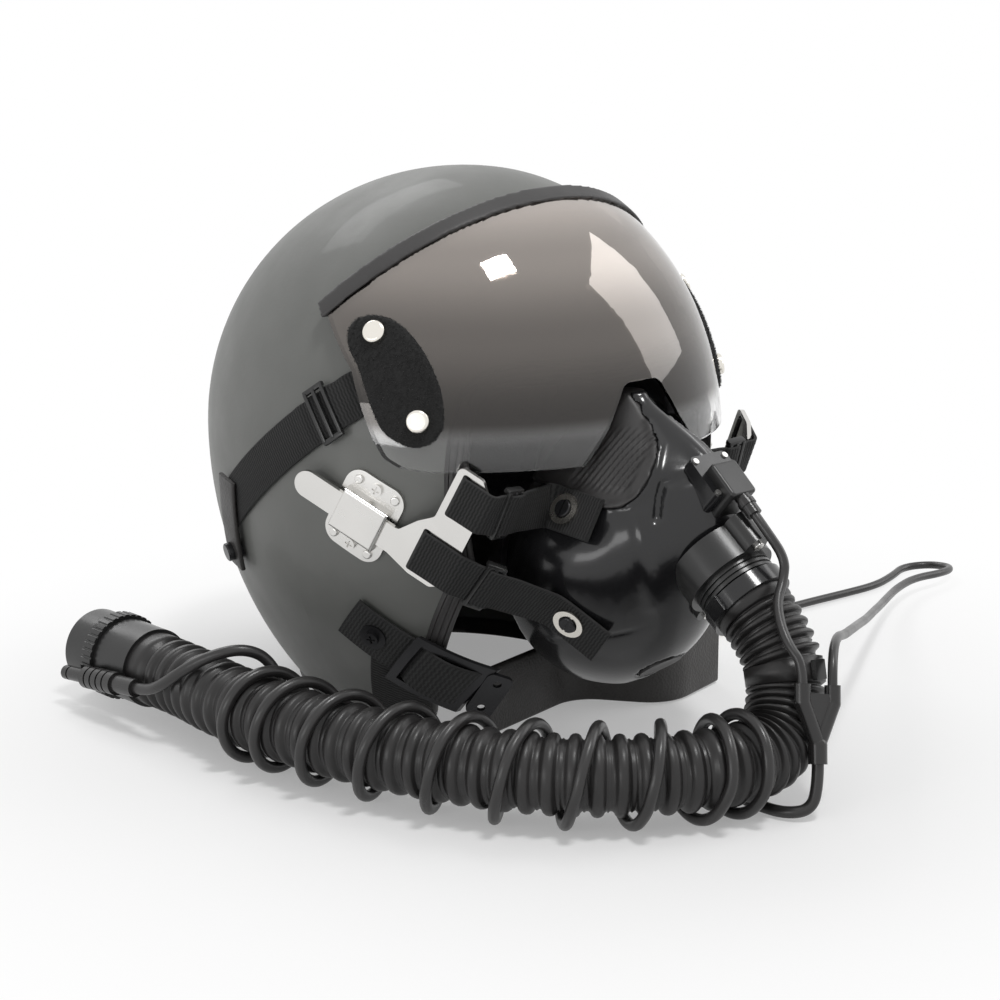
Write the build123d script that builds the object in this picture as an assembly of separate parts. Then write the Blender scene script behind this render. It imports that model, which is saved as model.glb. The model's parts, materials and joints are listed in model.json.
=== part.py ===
"""Pilot flight helmet with a lift-up visor, an oxygen mask, its breathing hose and its leads.

Millimetres. The helmet faces -Y, its right side is -X, +Z is up, and it stands on its lower edge roll
at z = 0. The origin lies under the middle of the helmet with its mask.
Places on the helmet are given from the dome's centre: y back from it, z up from it.
"""
import os
from math import atan2, cos, degrees, hypot, pi, radians, sin, sqrt, tan

from build123d import *

os.makedirs("parts", exist_ok=True)

# Dome of the shell: quarter ellipsoids that share one centre
dome_half_width = 119.0
dome_front = 116.0
dome_back = 150.0
dome_top = 132.0
dome_bottom = 168.0
shell_wall = 3.0

# Edge of the shell, from the dome's centre, and the rubber roll on it
brow_rise = 52.0
cheek_fore = 80.0
jaw_fore = 60.0
jaw_drop = 84.0
foot_fore = 38.0
rim_drop = 127.0
edge_rounding = 14.0
roll_over = 8.0
roll_lip = 3.0
roll_skin = 2.0

# Lining
seat_gap = 0.3
foam_thickness = 17.0
foam_low = 8.0
pad_thickness = 8.0
pad_half_length = 72.0
crown_pad_low = 58.0
nape_thickness = 15.0
nape_top = 62.0
nape_low = 112.0
nape_fore = 48.0

# Ear cups, their seals, spacer pads and earphones
ear_back = -8.0
ear_drop = 42.0
ear_half_height = 44.0
ear_half_length = 32.0
cup_outer_x = 94.0
cup_depth = 18.0
cup_wall = 2.4
cup_rounding = 9.0
seal_thickness = 14.0
seal_width = 12.0
seal_rounding = 5.0
spacer_share = 0.6
earphone_radius = 19.0
earphone_thickness = 9.0

# Bayonet receivers on the shell's sides
receiver_fore = 46.0
receiver_drop = 16.0
bar_fall = 31.0
plate_length = 31.0
plate_height = 40.0
plate_corner = 8.0
plate_thickness = 2.0
plate_lift = 0.1
bar_width = 13.0
bar_thickness = 2.2
bar_rise = 3.3
bar_behind = 36.0
bar_play = 0.3
channel_length = 24.0
channel_height = 21.0
channel_roof = 2.2
channel_rounding = 1.5
rivet_radius = 2.2
rivet_height = 1.5
rivet_fore = 9.5
lobe_reach = 15.2
shell_screw_radius = 2.9
shell_screw_height = 1.8
cross_width = 0.8
cross_depth = 0.9

# Offset plate at the front of each bayonet bar, with its two webbing slots
offset_start = 25.0
offset_end = 50.0
offset_top = 51.0
offset_low = 9.5
offset_waist = 16.0
upper_slot_place = (36.5, 37.5)
lower_slot_place = (31.5, 3.7)
slot_width = 4.0
slot_margin = 3.2
offset_rounding = 3.0

# Visor
visor_gap = 4.8
visor_thickness = 2.4
visor_low = 8.0
visor_top_fore = 53.0
visor_top_rise = 125.0
visor_tail_fore = 12.5
visor_tail_rise = 79.0
visor_side_fore = 40.0
visor_side_rise = 51.0
visor_hip_line = [(-55.0, 22.5), (-60.5, 13.5), (-67.0, 9.5)]
visor_lobe_fore = 76.0
visor_rounding = 6.0
visor_heel_fore = 65.0
notch_half_foot = 37.0
notch_half_waist = 24.0
notch_half_top = 11.0
notch_waist_rise = 23.0
notch_top_rise = 43.0
notch_rounding = 7.0
trim_width = 9.5
trim_over = 1.5
trim_skin = 1.6
hinge_back = 10.0
hinge_rise = 5.0
patch_thickness = 1.8
patch_rounding = 7.0
snap_radius = 5.4
snap_height = 3.2
snap_rounding = 1.6
stud_radius = 4.0
stud_share = 0.06

# Visor retaining straps, their slides, end tabs and snaps
strap_width = 22.0
strap_thickness = 2.0
strap_lift = 0.4
strap_from = (-56.6, 52.2)
strap_to = (54.0, -30.0)
triglide_length = 11.0
triglide_overhang = 4.0
triglide_thickness = 2.2
triglide_place = 0.361
tab_width = 17.0
tab_thickness = 2.2
tab_from = (49.0, -14.0)
tab_to = (55.0, -60.0)
tab_snap_radius = 4.6
tab_snap_height = 3.0

# Chin webbing on the shell, its buckles, tabs, screws and the band between
chin_width = 25.0
chin_thickness = 2.0
chin_screw_place = (-41.0, -75.0)
chin_end_place = (-71.0, -102.0)
chin_over = 12.0
chin_leg_from = (-52.0, -84.0)
chin_leg_to = (-36.0, -121.0)
washer_radius = 6.5
washer_thickness = 1.0
buckle_length = 24.0
buckle_overhang = 4.0
buckle_bar = 3.5
flange_reach = 10.0
flange_wide = 28.0
flange_plate = 1.8
hole_spread = 8.5
tab_hole_radius = 2.1
band_height = 34.0
band_thickness = 3.5
band_near = (-54.0, -70.0)
band_bows = [(16.0, -57.0), (44.0, -97.0)]
band_far = (88.0, -87.5)
band_rounding = 22.0

# Oxygen mask: levels from its chin up to the nose
mask_top = 37.5
mask_chin = 105.0
mask_reach = 175.0
mask_half_width = 50.0
mask_depth = 72.0
mask_wall = 2.5
face_wall = 2.5
face_gap = 0.1
face_lip = 9.0
# level, front, half width and depth as shares of the four sizes above
mask_shares = [
    (0.00, 0.640, 0.26, 0.30),
    (0.07, 0.745, 0.56, 0.52),
    (0.17, 0.830, 0.81, 0.72),
    (0.31, 0.893, 0.97, 0.87),
    (0.47, 0.950, 1.00, 0.96),
    (0.62, 0.989, 0.88, 1.00),
    (0.74, 0.955, 0.67, 0.90),
    (0.82, 0.905, 0.50, 0.72),
    (0.90, 0.800, 0.33, 0.44),
    (0.96, 0.705, 0.22, 0.22),
    (1.00, 0.672, 0.13, 0.11),
]
# back edge of the mask against the face, as shares of its reach and height
face_shares = [(0.590, 1.08), (0.575, 1.0), (0.52, 0.76), (0.44, 0.52), (0.425, 0.31), (0.485, -0.06)]

# front edge of the soft nose piece in the hard shell, from its top down and back to the cheek
nose_line = [(-112.5, 38.0), (-124.5, 28.0), (-136.0, 19.5), (-141.5, 13.0), (-143.5, 5.0), (-142.0, -3.5),
             (-136.5, -8.8), (-128.5, -9.8), (-118.0, -8.0), (-100.0, -5.0)]
nose_line_rounding = 2.0

# Hose port on the mask
flange_fore = 173.0
flange_drop = 39.0
hose_tilt = 37.7
flange_radius = 22.0
flange_thickness = 3.0
ear_radius = 6.5
ear_place = 22.5
port_radius = 11.5
collar_radius = 19.0
collar_length = 7.0
spigot_length = 11.0
ring_groove = 1.0
clamp_thickness = 2.0
clamp_width = 8.0
clamp_start = 1.2
clamp_lug = 9.0
flange_screw_radius = 2.6
flange_screw_height = 1.4

# Microphone on the top of the mask's snout
snout_fore = 168.0
snout_rise = 2.5
snout_tilt = 40.9
gauge_width = 24.0
gauge_length = 24.0
gauge_from = -8.5
gauge_rise = 3.0
gauge_screw_radius = 1.5
gauge_screw_height = 0.8
box_width = 16.0
box_length = 19.0
box_from = -12.0
box_height = 8.5
box_rounding = 1.5
boss_depth = 14.0
plug_radius = 3.6
plug_length = 10.0
plug_rise = 5.2
microphone_radius = 9.0
microphone_thickness = 5.0
microphone_back = 17.0

# Exhaust valve under the mask's chin
exhaust_fore = 131.0
exhaust_drop = 91.0
exhaust_tilt = 55.0
exhaust_radius = 12.0
seat_wall = 2.2
seat_depth = 5.0
hub_radius = 3.6
spoke_width = 2.0
stem_radius = 1.5
stem_play = 0.06
disc_radius = 10.6
disc_thickness = 1.4
valve_travel = 2.0

# Mask straps
web_width = 21.0
web_thickness = 1.8
web_lift = 1.4
web_tail = 19.0
web_rest_share = 0.5
upper_strap_turn = -3.0
lower_strap_turn = -42.0
upper_eyelet = (-111.0, -13.5)
lower_eyelet = (-116.0, -64.0)
slide_length = 10.0
slide_overhang = 3.5
slide_thickness = 5.0
slide_play = 0.3
slide_share = 0.3
eyelet_radius = 7.5
eyelet_hole = 4.6
eyelet_thickness = 1.0
strap_screw_radius = 4.2
strap_screw_height = 2.2
driver_slot = 1.0
driver_depth = 0.9

# Breathing hose
hose_radius = 18.0
hose_groove = 2.8
hose_bore = 14.0
hose_fit = 0.3
rib_pitch = 9.8
bend_pitch = 5.6
rib_start_share = 0.06
rib_rise_share = 0.22
rib_crest_share = 0.78
rib_fall_share = 0.94
rings_at_once = 60
hose_end_plain = 13.0
hose_first_run = 31.0
cuff_from = 38.5
cuff_to = 48.5
bend_end = 94.0

# Leads
lead_diameter = 5.4
cable_diameter = 4.4
lead_gap = 0.6

# Connector at the hose's free end
sleeve_radius = 19.6
sleeve_length = 25.0
ring_radius = 21.6
ring_width = 8.0
ring_play = 0.06
ring_shake = 0.2
barrel_radius = 17.6
barrel_length = 25.0
barrel_lip = 1.6
barrel_bore = 12.0
knurls = 36
knurl_radius = 0.9

# Lead's plug and the moulded junction
comm_plug_radius = 5.6
comm_plug_length = 26.0
comm_boot_radius = 4.4
comm_boot_length = 16.0
comm_pin_radius = 3.55
comm_pin_length = 19.0
grip_groove = 1.2
entry_spread = 8.4
entry_length = 4.0
entry_radius = 3.6
yoke_foot = 4.2
yoke_web = 3.6
clip_length = 9.0
clip_width = 7.0
clip_height = 2.5

# Sleeve on the earphone lead beside the helmet
marker_length = 14.0
marker_radius = 3.0
marker_bore = 2.5

# Room for cutters that pass right through a piece
overrun = 40.0

span = 2.0 * dome_half_width
hose_dir = Vector(0, -cos(radians(hose_tilt)), -sin(radians(hose_tilt)))
front_reach = flange_fore + (collar_length + clamp_start + clamp_width) * cos(radians(hose_tilt)) \
    + (hose_radius + seat_gap + clamp_thickness) * sin(radians(hose_tilt))
dome_y = (front_reach - dome_back) / 2
dome_z = rim_drop + roll_lip


def at(x, y, z):
    """A place given from the dome's centre."""
    return Vector(x, dome_y + y, dome_z + z)


def quarter(width, reach, rise, turned, flipped):
    """A quarter of an ellipsoid: the back upper one, turned to the front or flipped down."""
    ball = scale(Solid.make_sphere(1.0, angle1=0, angle2=90, angle3=180), by=(width, reach, rise))
    if flipped:
        ball = mirror(ball, about=Plane.XY)
    if turned:
        ball = Rot(0, 0, 180) * ball
    return ball


eggs = {}


def egg(grow):
    """The dome's form, grown all round."""
    key = round(grow, 4)
    if key not in eggs:
        width = dome_half_width + grow
        whole = None
        for reach, turned in ((dome_back + grow, False), (dome_front + grow, True)):
            for rise, flipped in ((dome_top + grow, False), (dome_bottom + grow, True)):
                piece = quarter(width, reach, rise, turned, flipped)
                whole = piece if whole is None else whole + piece
        eggs[key] = Pos(0, dome_y, dome_z) * whole
    return eggs[key]


def side_prism(outline, near=-span, far=span, rounding=0.0, grow=0.0):
    """An outline of (y, z) from the dome's centre, run along X."""
    points = [(dome_y + y, dome_z + z) for y, z in outline]
    if rounding:
        face = make_face(FilletPolyline(*points, radius=rounding, close=True))
    else:
        face = make_face(Polyline(*points, close=True))
    if grow:
        face = offset(face, amount=grow)
    return extrude(Plane.YZ.offset(near) * face, amount=far - near)


def strip(start, end, width):
    """The four corners of a straight strip about a centre line."""
    run_y, run_z = end[0] - start[0], end[1] - start[1]
    length = hypot(run_y, run_z)
    off_y, off_z = -run_z / length * width / 2, run_y / length * width / 2
    return [(start[0] + off_y, start[1] + off_z), (end[0] + off_y, end[1] + off_z),
            (end[0] - off_y, end[1] - off_z), (start[0] - off_y, start[1] - off_z)]


def along(start, end, share):
    return (start[0] + (end[0] - start[0]) * share, start[1] + (end[1] - start[1]) * share)


def dome_plane(y, z, lift=0.0, fall=0.0):
    """A plane on the dome's right side: x forward and falling, y up, z outward."""
    reach = dome_front if y < 0 else dome_back
    rise = dome_top if z > 0 else dome_bottom
    x = -dome_half_width * sqrt(1 - (y / reach) ** 2 - (z / rise) ** 2)
    normal = Vector(x / dome_half_width ** 2, y / reach ** 2, z / rise ** 2).normalized()
    ahead, down = cos(radians(fall)), sin(radians(fall))
    heading = Vector((ahead * normal.Y + down * normal.Z) / normal.X, -ahead, -down).normalized()
    return Plane(origin=at(x, y, z) + normal * lift, x_dir=heading, z_dir=normal)


def dome_plate(plane, sketch, inner, outer):
    """A curved plate on the dome, with its outline drawn on a plane."""
    slug = extrude(plane * sketch, amount=overrun, both=True)
    return (slug & egg(outer)) - egg(inner)


def seated_heads(planes, radius, height, seat, rounding=0.0):
    """Fastener heads that stand on the dome grown by seat."""
    heads = []
    for plane in planes:
        head = extrude(plane * Circle(radius), amount=height + seat)
        if rounding:
            head = fillet(outermost(head.edges(), plane), rounding)
        heads.append(head - egg(seat))
    return heads


def crossed(head, plane, height, seat, size):
    """A head with a cross recess."""
    top = plane.offset(height + seat)
    for turn in (0, 90):
        bar = extrude(top * Rot(0, 0, turn) * Rectangle(size, cross_width), amount=-cross_depth)
        head = head - bar
    return head


def mirrored(shape):
    return mirror(shape, about=Plane.YZ)


def outermost(items, plane, count=1):
    """The faces or edges that lie furthest out along a plane's normal."""
    return items.sort_by(Axis(plane.origin, plane.z_dir))[-count:]


def both_sides(shapes):
    return Compound(children=[piece for shape in shapes for piece in (shape, mirrored(shape))])


def solids_of(shapes):
    """Loose solids gathered in one group."""
    return Compound(children=[solid for shape in shapes for solid in shape.solids()])


def route_radii(points):
    """Corner radii: 0.45 of the shorter run over the tangent of half the turn."""
    radii = []
    for before, here, after in zip(points, points[1:], points[2:]):
        leg_in, leg_out = here - before, after - here
        turn = radians(leg_in.get_angle(leg_out))
        radii.append(0.45 * min(leg_in.length, leg_out.length) / tan(turn / 2))
    return radii


def route(name, points):
    """Straight runs joined by tangent arcs, and their radii in diameters of the tube."""
    points = [Vector(*point) for point in points]
    radii = route_radii(points)
    line = FilletPolyline(*points, radius=radii)
    print(name, "length", round(line.length, 1), "radii", [round(radius, 1) for radius in radii])
    return Wire(line.edges())


def tube(name, path, radius):
    """A round tube swept along a path."""
    start = Plane(origin=path.position_at(0), z_dir=path.tangent_at(0))
    body = sweep(start * Circle(radius), path=path)
    told = pi * radius ** 2 * path.length
    print(name, "volume", round(body.volume), "section by length", round(told))
    return body


written = []


def write(name, shape):
    shape.label = name
    export_step(shape, "parts/" + name + ".step")
    written.append(name)


# Shell and its edge roll
opening = [(-span, brow_rise), (-cheek_fore, brow_rise), (-cheek_fore, -jaw_drop / 2),
           (-jaw_fore, -jaw_drop), (-foot_fore, -rim_drop), (span, -rim_drop),
           (span, -span), (-span, -span)]
cutter = side_prism(opening, rounding=edge_rounding)
shell = (egg(0.0) - egg(-shell_wall)) - cutter
roll_band = side_prism(opening, rounding=edge_rounding, grow=roll_over) \
    - side_prism(opening, rounding=edge_rounding, grow=-roll_lip)
roll = (egg(roll_skin) & roll_band) - egg(-shell_wall - roll_skin) - shell
bar_plane = dome_plane(-receiver_fore, -receiver_drop, fall=bar_fall)


def chin_webbing():
    """Two webbing legs over the shell's lower edge, from the screw to the loop buckle and down."""
    inner = roll_skin + seat_gap
    outer = inner + chin_thickness
    span_out = strip(chin_screw_place, chin_end_place, chin_width)
    back = along(chin_screw_place, chin_end_place, -chin_over / hypot(
        chin_end_place[0] - chin_screw_place[0], chin_end_place[1] - chin_screw_place[1]))
    span_out = strip(back, chin_end_place, chin_width)
    main = side_prism(span_out, -span, 0)
    leg = side_prism(strip(chin_leg_from, chin_leg_to, chin_width), -span, 0)
    return ((main + leg) & egg(outer)) - egg(inner)


webbing = chin_webbing()
write("shell", shell)
write("edge_roll", roll)
write("chin_webbing_right", webbing)
write("chin_webbing_left", mirrored(webbing))

# Lining: foam, crown pad and nape pad
liner_clear = side_prism(opening, rounding=edge_rounding, grow=roll_over + seat_gap)
under_foam = side_prism([(-span, foam_low), (nape_fore, foam_low), (nape_fore + foam_low, -nape_top + seat_gap),
                         (span, -nape_top + seat_gap), (span, -span), (-span, -span)])
foam_outer = -shell_wall - seat_gap
foam_inner = foam_outer - foam_thickness
foam = (egg(foam_outer) - egg(foam_inner)) - liner_clear - under_foam
pad_outer = foam_inner - seat_gap
pad_zone = side_prism([(-pad_half_length, crown_pad_low), (pad_half_length, crown_pad_low),
                       (pad_half_length, span), (-pad_half_length, span)])
crown_pad = (egg(pad_outer) - egg(pad_outer - pad_thickness)) & pad_zone
nape_zone = side_prism([(nape_fore, -nape_top), (span, -nape_top), (span, -nape_low), (nape_fore, -nape_low)])
nape_pad = (egg(foam_outer) - egg(foam_outer - nape_thickness)) & nape_zone
write("foam_liner", foam)
write("crown_pad", crown_pad)
write("nape_pad", nape_pad)

# Ear cups with seals, spacer pads and earphones
ear_plane = Plane(origin=at(-cup_outer_x, ear_back, -ear_drop), x_dir=(0, -1, 0), z_dir=(1, 0, 0))


def ear_oval(inset=0.0, share=1.0):
    return Ellipse((ear_half_length - inset) * share, (ear_half_height - inset) * share)


def ear_cup():
    """A cup open towards the head, with its outer rim rounded."""
    cup = extrude(ear_plane * ear_oval(), amount=cup_depth)
    cup = fillet(cup.edges().sort_by(Axis.X)[0], cup_rounding)
    hollow = extrude(ear_plane.offset(cup_wall) * ear_oval(cup_wall), amount=cup_depth)
    hollow = fillet(hollow.edges().sort_by(Axis.X)[0], cup_rounding - cup_wall)
    return cup - hollow


def ear_seal():
    """The cushion ring on the cup's rim, with a crowned face."""
    face = ear_plane.offset(cup_depth)
    seal = extrude(face * (ear_oval() - ear_oval(seal_width)), amount=seal_thickness)
    return fillet(seal.edges().sort_by(Axis.X)[-2:], seal_rounding)


def ear_spacer():
    """The foam pad between cup and shell."""
    pad = extrude(ear_plane * ear_oval(share=spacer_share), amount=-overrun)
    return (pad & egg(foam_outer)) - Pos(-seat_gap, 0, 0) * cup


cup = ear_cup()
seal = ear_seal()
spacer = ear_spacer()
earphone = extrude(ear_plane.offset(cup_wall) * Circle(earphone_radius), amount=earphone_thickness)
write("ear_cups", both_sides([cup]))
write("ear_seals", both_sides([seal]))
write("ear_spacers", both_sides([spacer]))
write("earphones", both_sides([earphone]))

# Bayonet receivers: curved plate, channel, rivets and screws
plate_face = plate_lift + plate_thickness
plate = dome_plate(bar_plane, RectangleRounded(plate_length, plate_height, plate_corner), plate_lift, plate_face)
channel_top = bar_rise + bar_thickness + bar_play + channel_roof


def receiver_channel():
    """The block over the bar's path."""
    block = extrude(bar_plane * Rectangle(channel_length, channel_height), amount=channel_top)
    block = fillet(outermost(block.faces(), bar_plane)[0].edges(), channel_rounding)
    path = bar_plane.offset(bar_rise - bar_play)
    slot = extrude(path * Rectangle(channel_length + overrun, bar_width + 2 * bar_play),
                   amount=bar_thickness + 2 * bar_play)
    return (block - slot) - egg(plate_face)


def placed(plane, x, y):
    """The same plane, moved in itself and set down on the dome."""
    spot = plane.origin + plane.x_dir * x + plane.y_dir * y
    return dome_plane(spot.Y - dome_y, spot.Z - dome_z, fall=bar_fall)


channel = receiver_channel()
rivet_planes = [placed(bar_plane, x, y) for x in (-rivet_fore, rivet_fore) for y in (-lobe_reach, lobe_reach)]
rivets = seated_heads(rivet_planes, rivet_radius, rivet_height, plate_face, rivet_height / 2)
screw_planes = [placed(bar_plane, 0, y) for y in (-lobe_reach, lobe_reach)]
receiver_screws = []
for plane in screw_planes:
    head = seated_heads([plane], shell_screw_radius, shell_screw_height, plate_face)[0]
    receiver_screws.append(crossed(head, plane, shell_screw_height, plate_face, shell_screw_radius * 1.3))
write("receiver_plates", both_sides([plate]))
write("receiver_channels", both_sides([channel]))
write("receiver_rivets", both_sides(rivets))
write("receiver_screws", both_sides(receiver_screws))


# Bayonets: a straight bar with the offset plate
def bayonet(slotted=True, clear=0.0):
    """The bar with its offset plate, or the room that it takes up."""
    half = bar_width / 2
    shoulder = upper_slot_place[0] - slot_width / 2 - slot_margin
    outline = [(-bar_behind + half, -half), (-bar_behind + half, half), (offset_start - half, half),
               (offset_start, offset_waist), (shoulder, offset_waist + half), (shoulder, offset_top),
               (offset_end - half, offset_top), (offset_end, offset_top - half), (offset_end, -offset_low / 2),
               (offset_end - half, -offset_low), (lower_slot_place[0], -offset_low), (offset_start - half, -half)]
    sketch = make_face(Polyline(*outline, close=True))
    sketch = fillet(sketch.vertices().filter_by(lambda corner: corner.X > offset_start - bar_width), offset_rounding)
    sketch = sketch + Pos(-bar_behind + half, 0) * Circle(half)
    for place in (upper_slot_place, lower_slot_place) if slotted else ():
        hole = RectangleRounded(slot_width, web_width + web_thickness, slot_width / 3)
        sketch = sketch - Pos(*place) * hole
    return extrude(bar_plane.offset(bar_rise - clear) * sketch, amount=bar_thickness + 2 * clear)


bar = bayonet()
write("bayonet_right", bar)
write("bayonet_left", mirrored(bar))

# Visor: lens, rubber trim, hook patches and snaps
lens_in = visor_gap
lens_out = visor_gap + visor_thickness
top_edge = (-visor_top_fore, visor_top_rise)
tail = (-visor_tail_fore, visor_tail_rise)
top_out = along(tail, top_edge, 2.0)
visor_outline = [top_out, tail, (-visor_side_fore, visor_side_rise)] + visor_hip_line + [
    (-visor_lobe_fore, visor_low), (-span, visor_low), (-span, visor_top_rise * 2)]


def nose_notch():
    """The cut-out for the nose, drawn from the front."""
    outline = [(-notch_half_foot - overrun, visor_low - overrun), (-notch_half_foot, visor_low),
               (-notch_half_waist, notch_waist_rise), (-notch_half_top, notch_top_rise),
               (notch_half_top, notch_top_rise), (notch_half_waist, notch_waist_rise),
               (notch_half_foot, visor_low), (notch_half_foot + overrun, visor_low - overrun)]
    points = [(x, dome_z + z) for x, z in outline]
    face = make_face(FilletPolyline(*points, radius=notch_rounding, close=True))
    return extrude(Plane.XZ.offset(-dome_y) * face, amount=span)


lens = ((egg(lens_out) & side_prism(visor_outline, rounding=visor_rounding)) - egg(lens_in)) - nose_notch()
trim_line = strip(along(tail, top_edge, -0.2), along(tail, top_edge, 1.6), 2 * trim_over)
line_y, line_z = top_edge[0] - tail[0], top_edge[1] - tail[1]
line_length = hypot(line_y, line_z)
across = (-line_z / line_length, line_y / line_length)
trim_outline = [(tail[0] - across[0] * trim_over - line_y * 0.04, tail[1] - across[1] * trim_over - line_z * 0.04),
                (top_out[0] - across[0] * trim_over, top_out[1] - across[1] * trim_over),
                (top_out[0] + across[0] * (trim_width - trim_over),
                 top_out[1] + across[1] * (trim_width - trim_over)),
                (tail[0] + across[0] * (trim_width - trim_over) - line_y * 0.04,
                 tail[1] + across[1] * (trim_width - trim_over) - line_z * 0.04)]
trim = ((egg(lens_out + trim_skin) & side_prism(trim_outline)) - egg(lens_in - trim_skin)) - lens
write("visor_lens", lens)
write("visor_trim", trim)

# hook patch outline as shares of the visor's heel place and top rise
patch_shares = [(0.52, 0.585), (0.73, 0.59), (0.85, 0.53), (0.97, 0.45), (1.17, 0.385), (1.25, 0.20),
                (1.22, 0.155), (0.95, 0.155), (0.80, 0.22), (0.64, 0.36)]
patch_outline = [(-visor_heel_fore * fore, visor_top_rise * rise) for fore, rise in patch_shares]
patch = (side_prism(patch_outline, -span, 0, rounding=patch_rounding / 2) & egg(lens_out + patch_thickness)) \
    - egg(lens_out)
snap_shares = [(0.66, 0.515), (1.05, 0.235)]
snap_planes = [dome_plane(-visor_heel_fore * fore, visor_top_rise * rise) for fore, rise in snap_shares]
patch_face = lens_out + patch_thickness
snaps = seated_heads(snap_planes, snap_radius, snap_height, patch_face, snap_rounding)
strap_out = strap_lift + strap_thickness
stud_plane = dome_plane(*along(strap_from, strap_to, stud_share))
stud = (extrude(stud_plane * Circle(stud_radius), amount=patch_face) & egg(lens_in)) - egg(strap_out + face_gap)
write("visor_patches", both_sides([patch]))
write("visor_snaps", both_sides(snaps + [stud]))

# Visor retaining straps on the shell
visor_strap = (side_prism(strip(strap_from, strap_to, strap_width), -span, 0) & egg(strap_out)) - egg(strap_lift)
slide_mid = along(strap_from, strap_to, triglide_place)
triglide_half = triglide_length / hypot(strap_to[0] - strap_from[0], strap_to[1] - strap_from[1]) / 2
slide_ends = (along(strap_from, strap_to, triglide_place - triglide_half),
              along(strap_from, strap_to, triglide_place + triglide_half))
slide_in = strap_out + seat_gap / 3
triglide = (side_prism(strip(*slide_ends, strap_width + 2 * triglide_overhang), -span, 0)
            & egg(slide_in + triglide_thickness)) - egg(slide_in)
tab_in = strap_out + seat_gap / 3
tab_out = tab_in + tab_thickness
strap_tab = (side_prism(strip(tab_from, tab_to, tab_width), -span, 0, rounding=tab_width / 5)
             & egg(tab_out)) - egg(tab_in)
tab_snap_planes = [dome_plane(*along(tab_from, tab_to, 0.82))]
tab_snap = seated_heads(tab_snap_planes, tab_snap_radius, tab_snap_height, tab_out, snap_rounding / 2)
tab_post = dome_plane(*along(tab_from, tab_to, 0.82))
post = (extrude(tab_post * Circle(tab_snap_radius), amount=overrun) & egg(tab_in - seat_gap / 3)) - egg(plate_lift)
write("visor_strap_right", visor_strap)
write("visor_strap_left", mirrored(visor_strap))
write("visor_triglides", both_sides([triglide]))
write("strap_tabs", both_sides([strap_tab]))
write("tab_snaps", both_sides(tab_snap + [post]))

# Chin fittings: washers with screws, loop buckles, tabs and the band
web_face = roll_skin + seat_gap + chin_thickness
washer_plane = dome_plane(*chin_screw_place)
washer = (extrude(washer_plane * Circle(washer_radius), amount=overrun)
          & egg(web_face + washer_thickness)) - egg(web_face)
chin_head = seated_heads([washer_plane], shell_screw_radius * 1.2, shell_screw_height,
                         web_face + washer_thickness)[0]
chin_head = crossed(chin_head, washer_plane, shell_screw_height, web_face + washer_thickness,
                    shell_screw_radius * 1.5)
write("chin_screws", both_sides([washer, chin_head]))


def chin_buckle():
    """A flat frame with a middle bar round the webbing's end, and its flange with two holes."""
    length = hypot(chin_end_place[0] - chin_screw_place[0], chin_end_place[1] - chin_screw_place[1])
    low_share = 1.0 - buckle_length / length
    low = along(chin_screw_place, chin_end_place, low_share)
    high = along(chin_screw_place, chin_end_place, 1.0 + buckle_bar / length)
    outer = web_face + seat_gap + buckle_bar / 2
    frame = (side_prism(strip(low, high, chin_width + 2 * buckle_overhang), -span, 0)
             & egg(outer)) - egg(web_face + seat_gap)
    openings = []
    bar_share = buckle_bar / length
    window = (1.0 - low_share - 2 * bar_share) / 2
    for start in (low_share + bar_share, low_share + 2 * bar_share + window):
        openings.append(side_prism(strip(along(chin_screw_place, chin_end_place, start),
                                         along(chin_screw_place, chin_end_place, start + window),
                                         chin_width), -span, 0))
    for cut in openings:
        frame = frame - cut
    edge = dome_plane(*chin_end_place)
    ahead = (dome_plane(*along(chin_screw_place, chin_end_place, 0.97)).origin - edge.origin) * -1
    heading = ahead.normalized()
    normal = (edge.z_dir - heading * edge.z_dir.dot(heading)).normalized()
    flange = Plane(origin=edge.origin + normal * (web_face + seat_gap), x_dir=heading, z_dir=normal)
    sheet = Pos(flange_reach / 2, 0) * RectangleRounded(flange_reach + buckle_bar, flange_wide, buckle_bar)
    for side in (-1, 1):
        sheet = sheet - Pos(flange_reach / 2, side * hole_spread) * Circle(tab_hole_radius)
    return frame + extrude(flange * sheet, amount=flange_plate)


buckle = chin_buckle()
write("chin_buckles", both_sides([buckle]))
band_line = FilletPolyline(*[(x, dome_y + y) for x, y in [band_near] + band_bows + [band_far]],
                           radius=band_rounding)
band_face = make_face(offset(band_line, amount=band_thickness / 2, side=Side.BOTH).edges())
band = extrude(band_face, amount=band_height)
write("chin_band", band)


# Oxygen mask
def mask_form(inset):
    """The mask as a loft of level ellipses, drawn in by inset."""
    height = mask_top + mask_chin
    sections = []
    for level, front, half, depth in mask_shares:
        z = -mask_chin + inset + level * (height - 2 * inset)
        deep = mask_depth * depth - inset
        wide = mask_half_width * half - inset
        centre = -(mask_reach * front - mask_depth * depth)
        sections.append(Pos(0, dome_y + centre, dome_z + z) * Ellipse(wide, deep))
    return loft(sections)


def mask_gauge(x, y, z):
    """Below 1 inside the mask's form and above 1 outside."""
    share = (z + mask_chin) / (mask_top + mask_chin)
    for low, high in zip(mask_shares, mask_shares[1:]):
        if low[0] <= share <= high[0]:
            part = (share - low[0]) / (high[0] - low[0])
            front, half, depth = [a + (b - a) * part for a, b in zip(low[1:], high[1:])]
            centre = -(mask_reach * front - mask_depth * depth)
            return sqrt((x / (mask_half_width * half)) ** 2 + ((y - centre) / (mask_depth * depth)) ** 2)
    return 2.0


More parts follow.
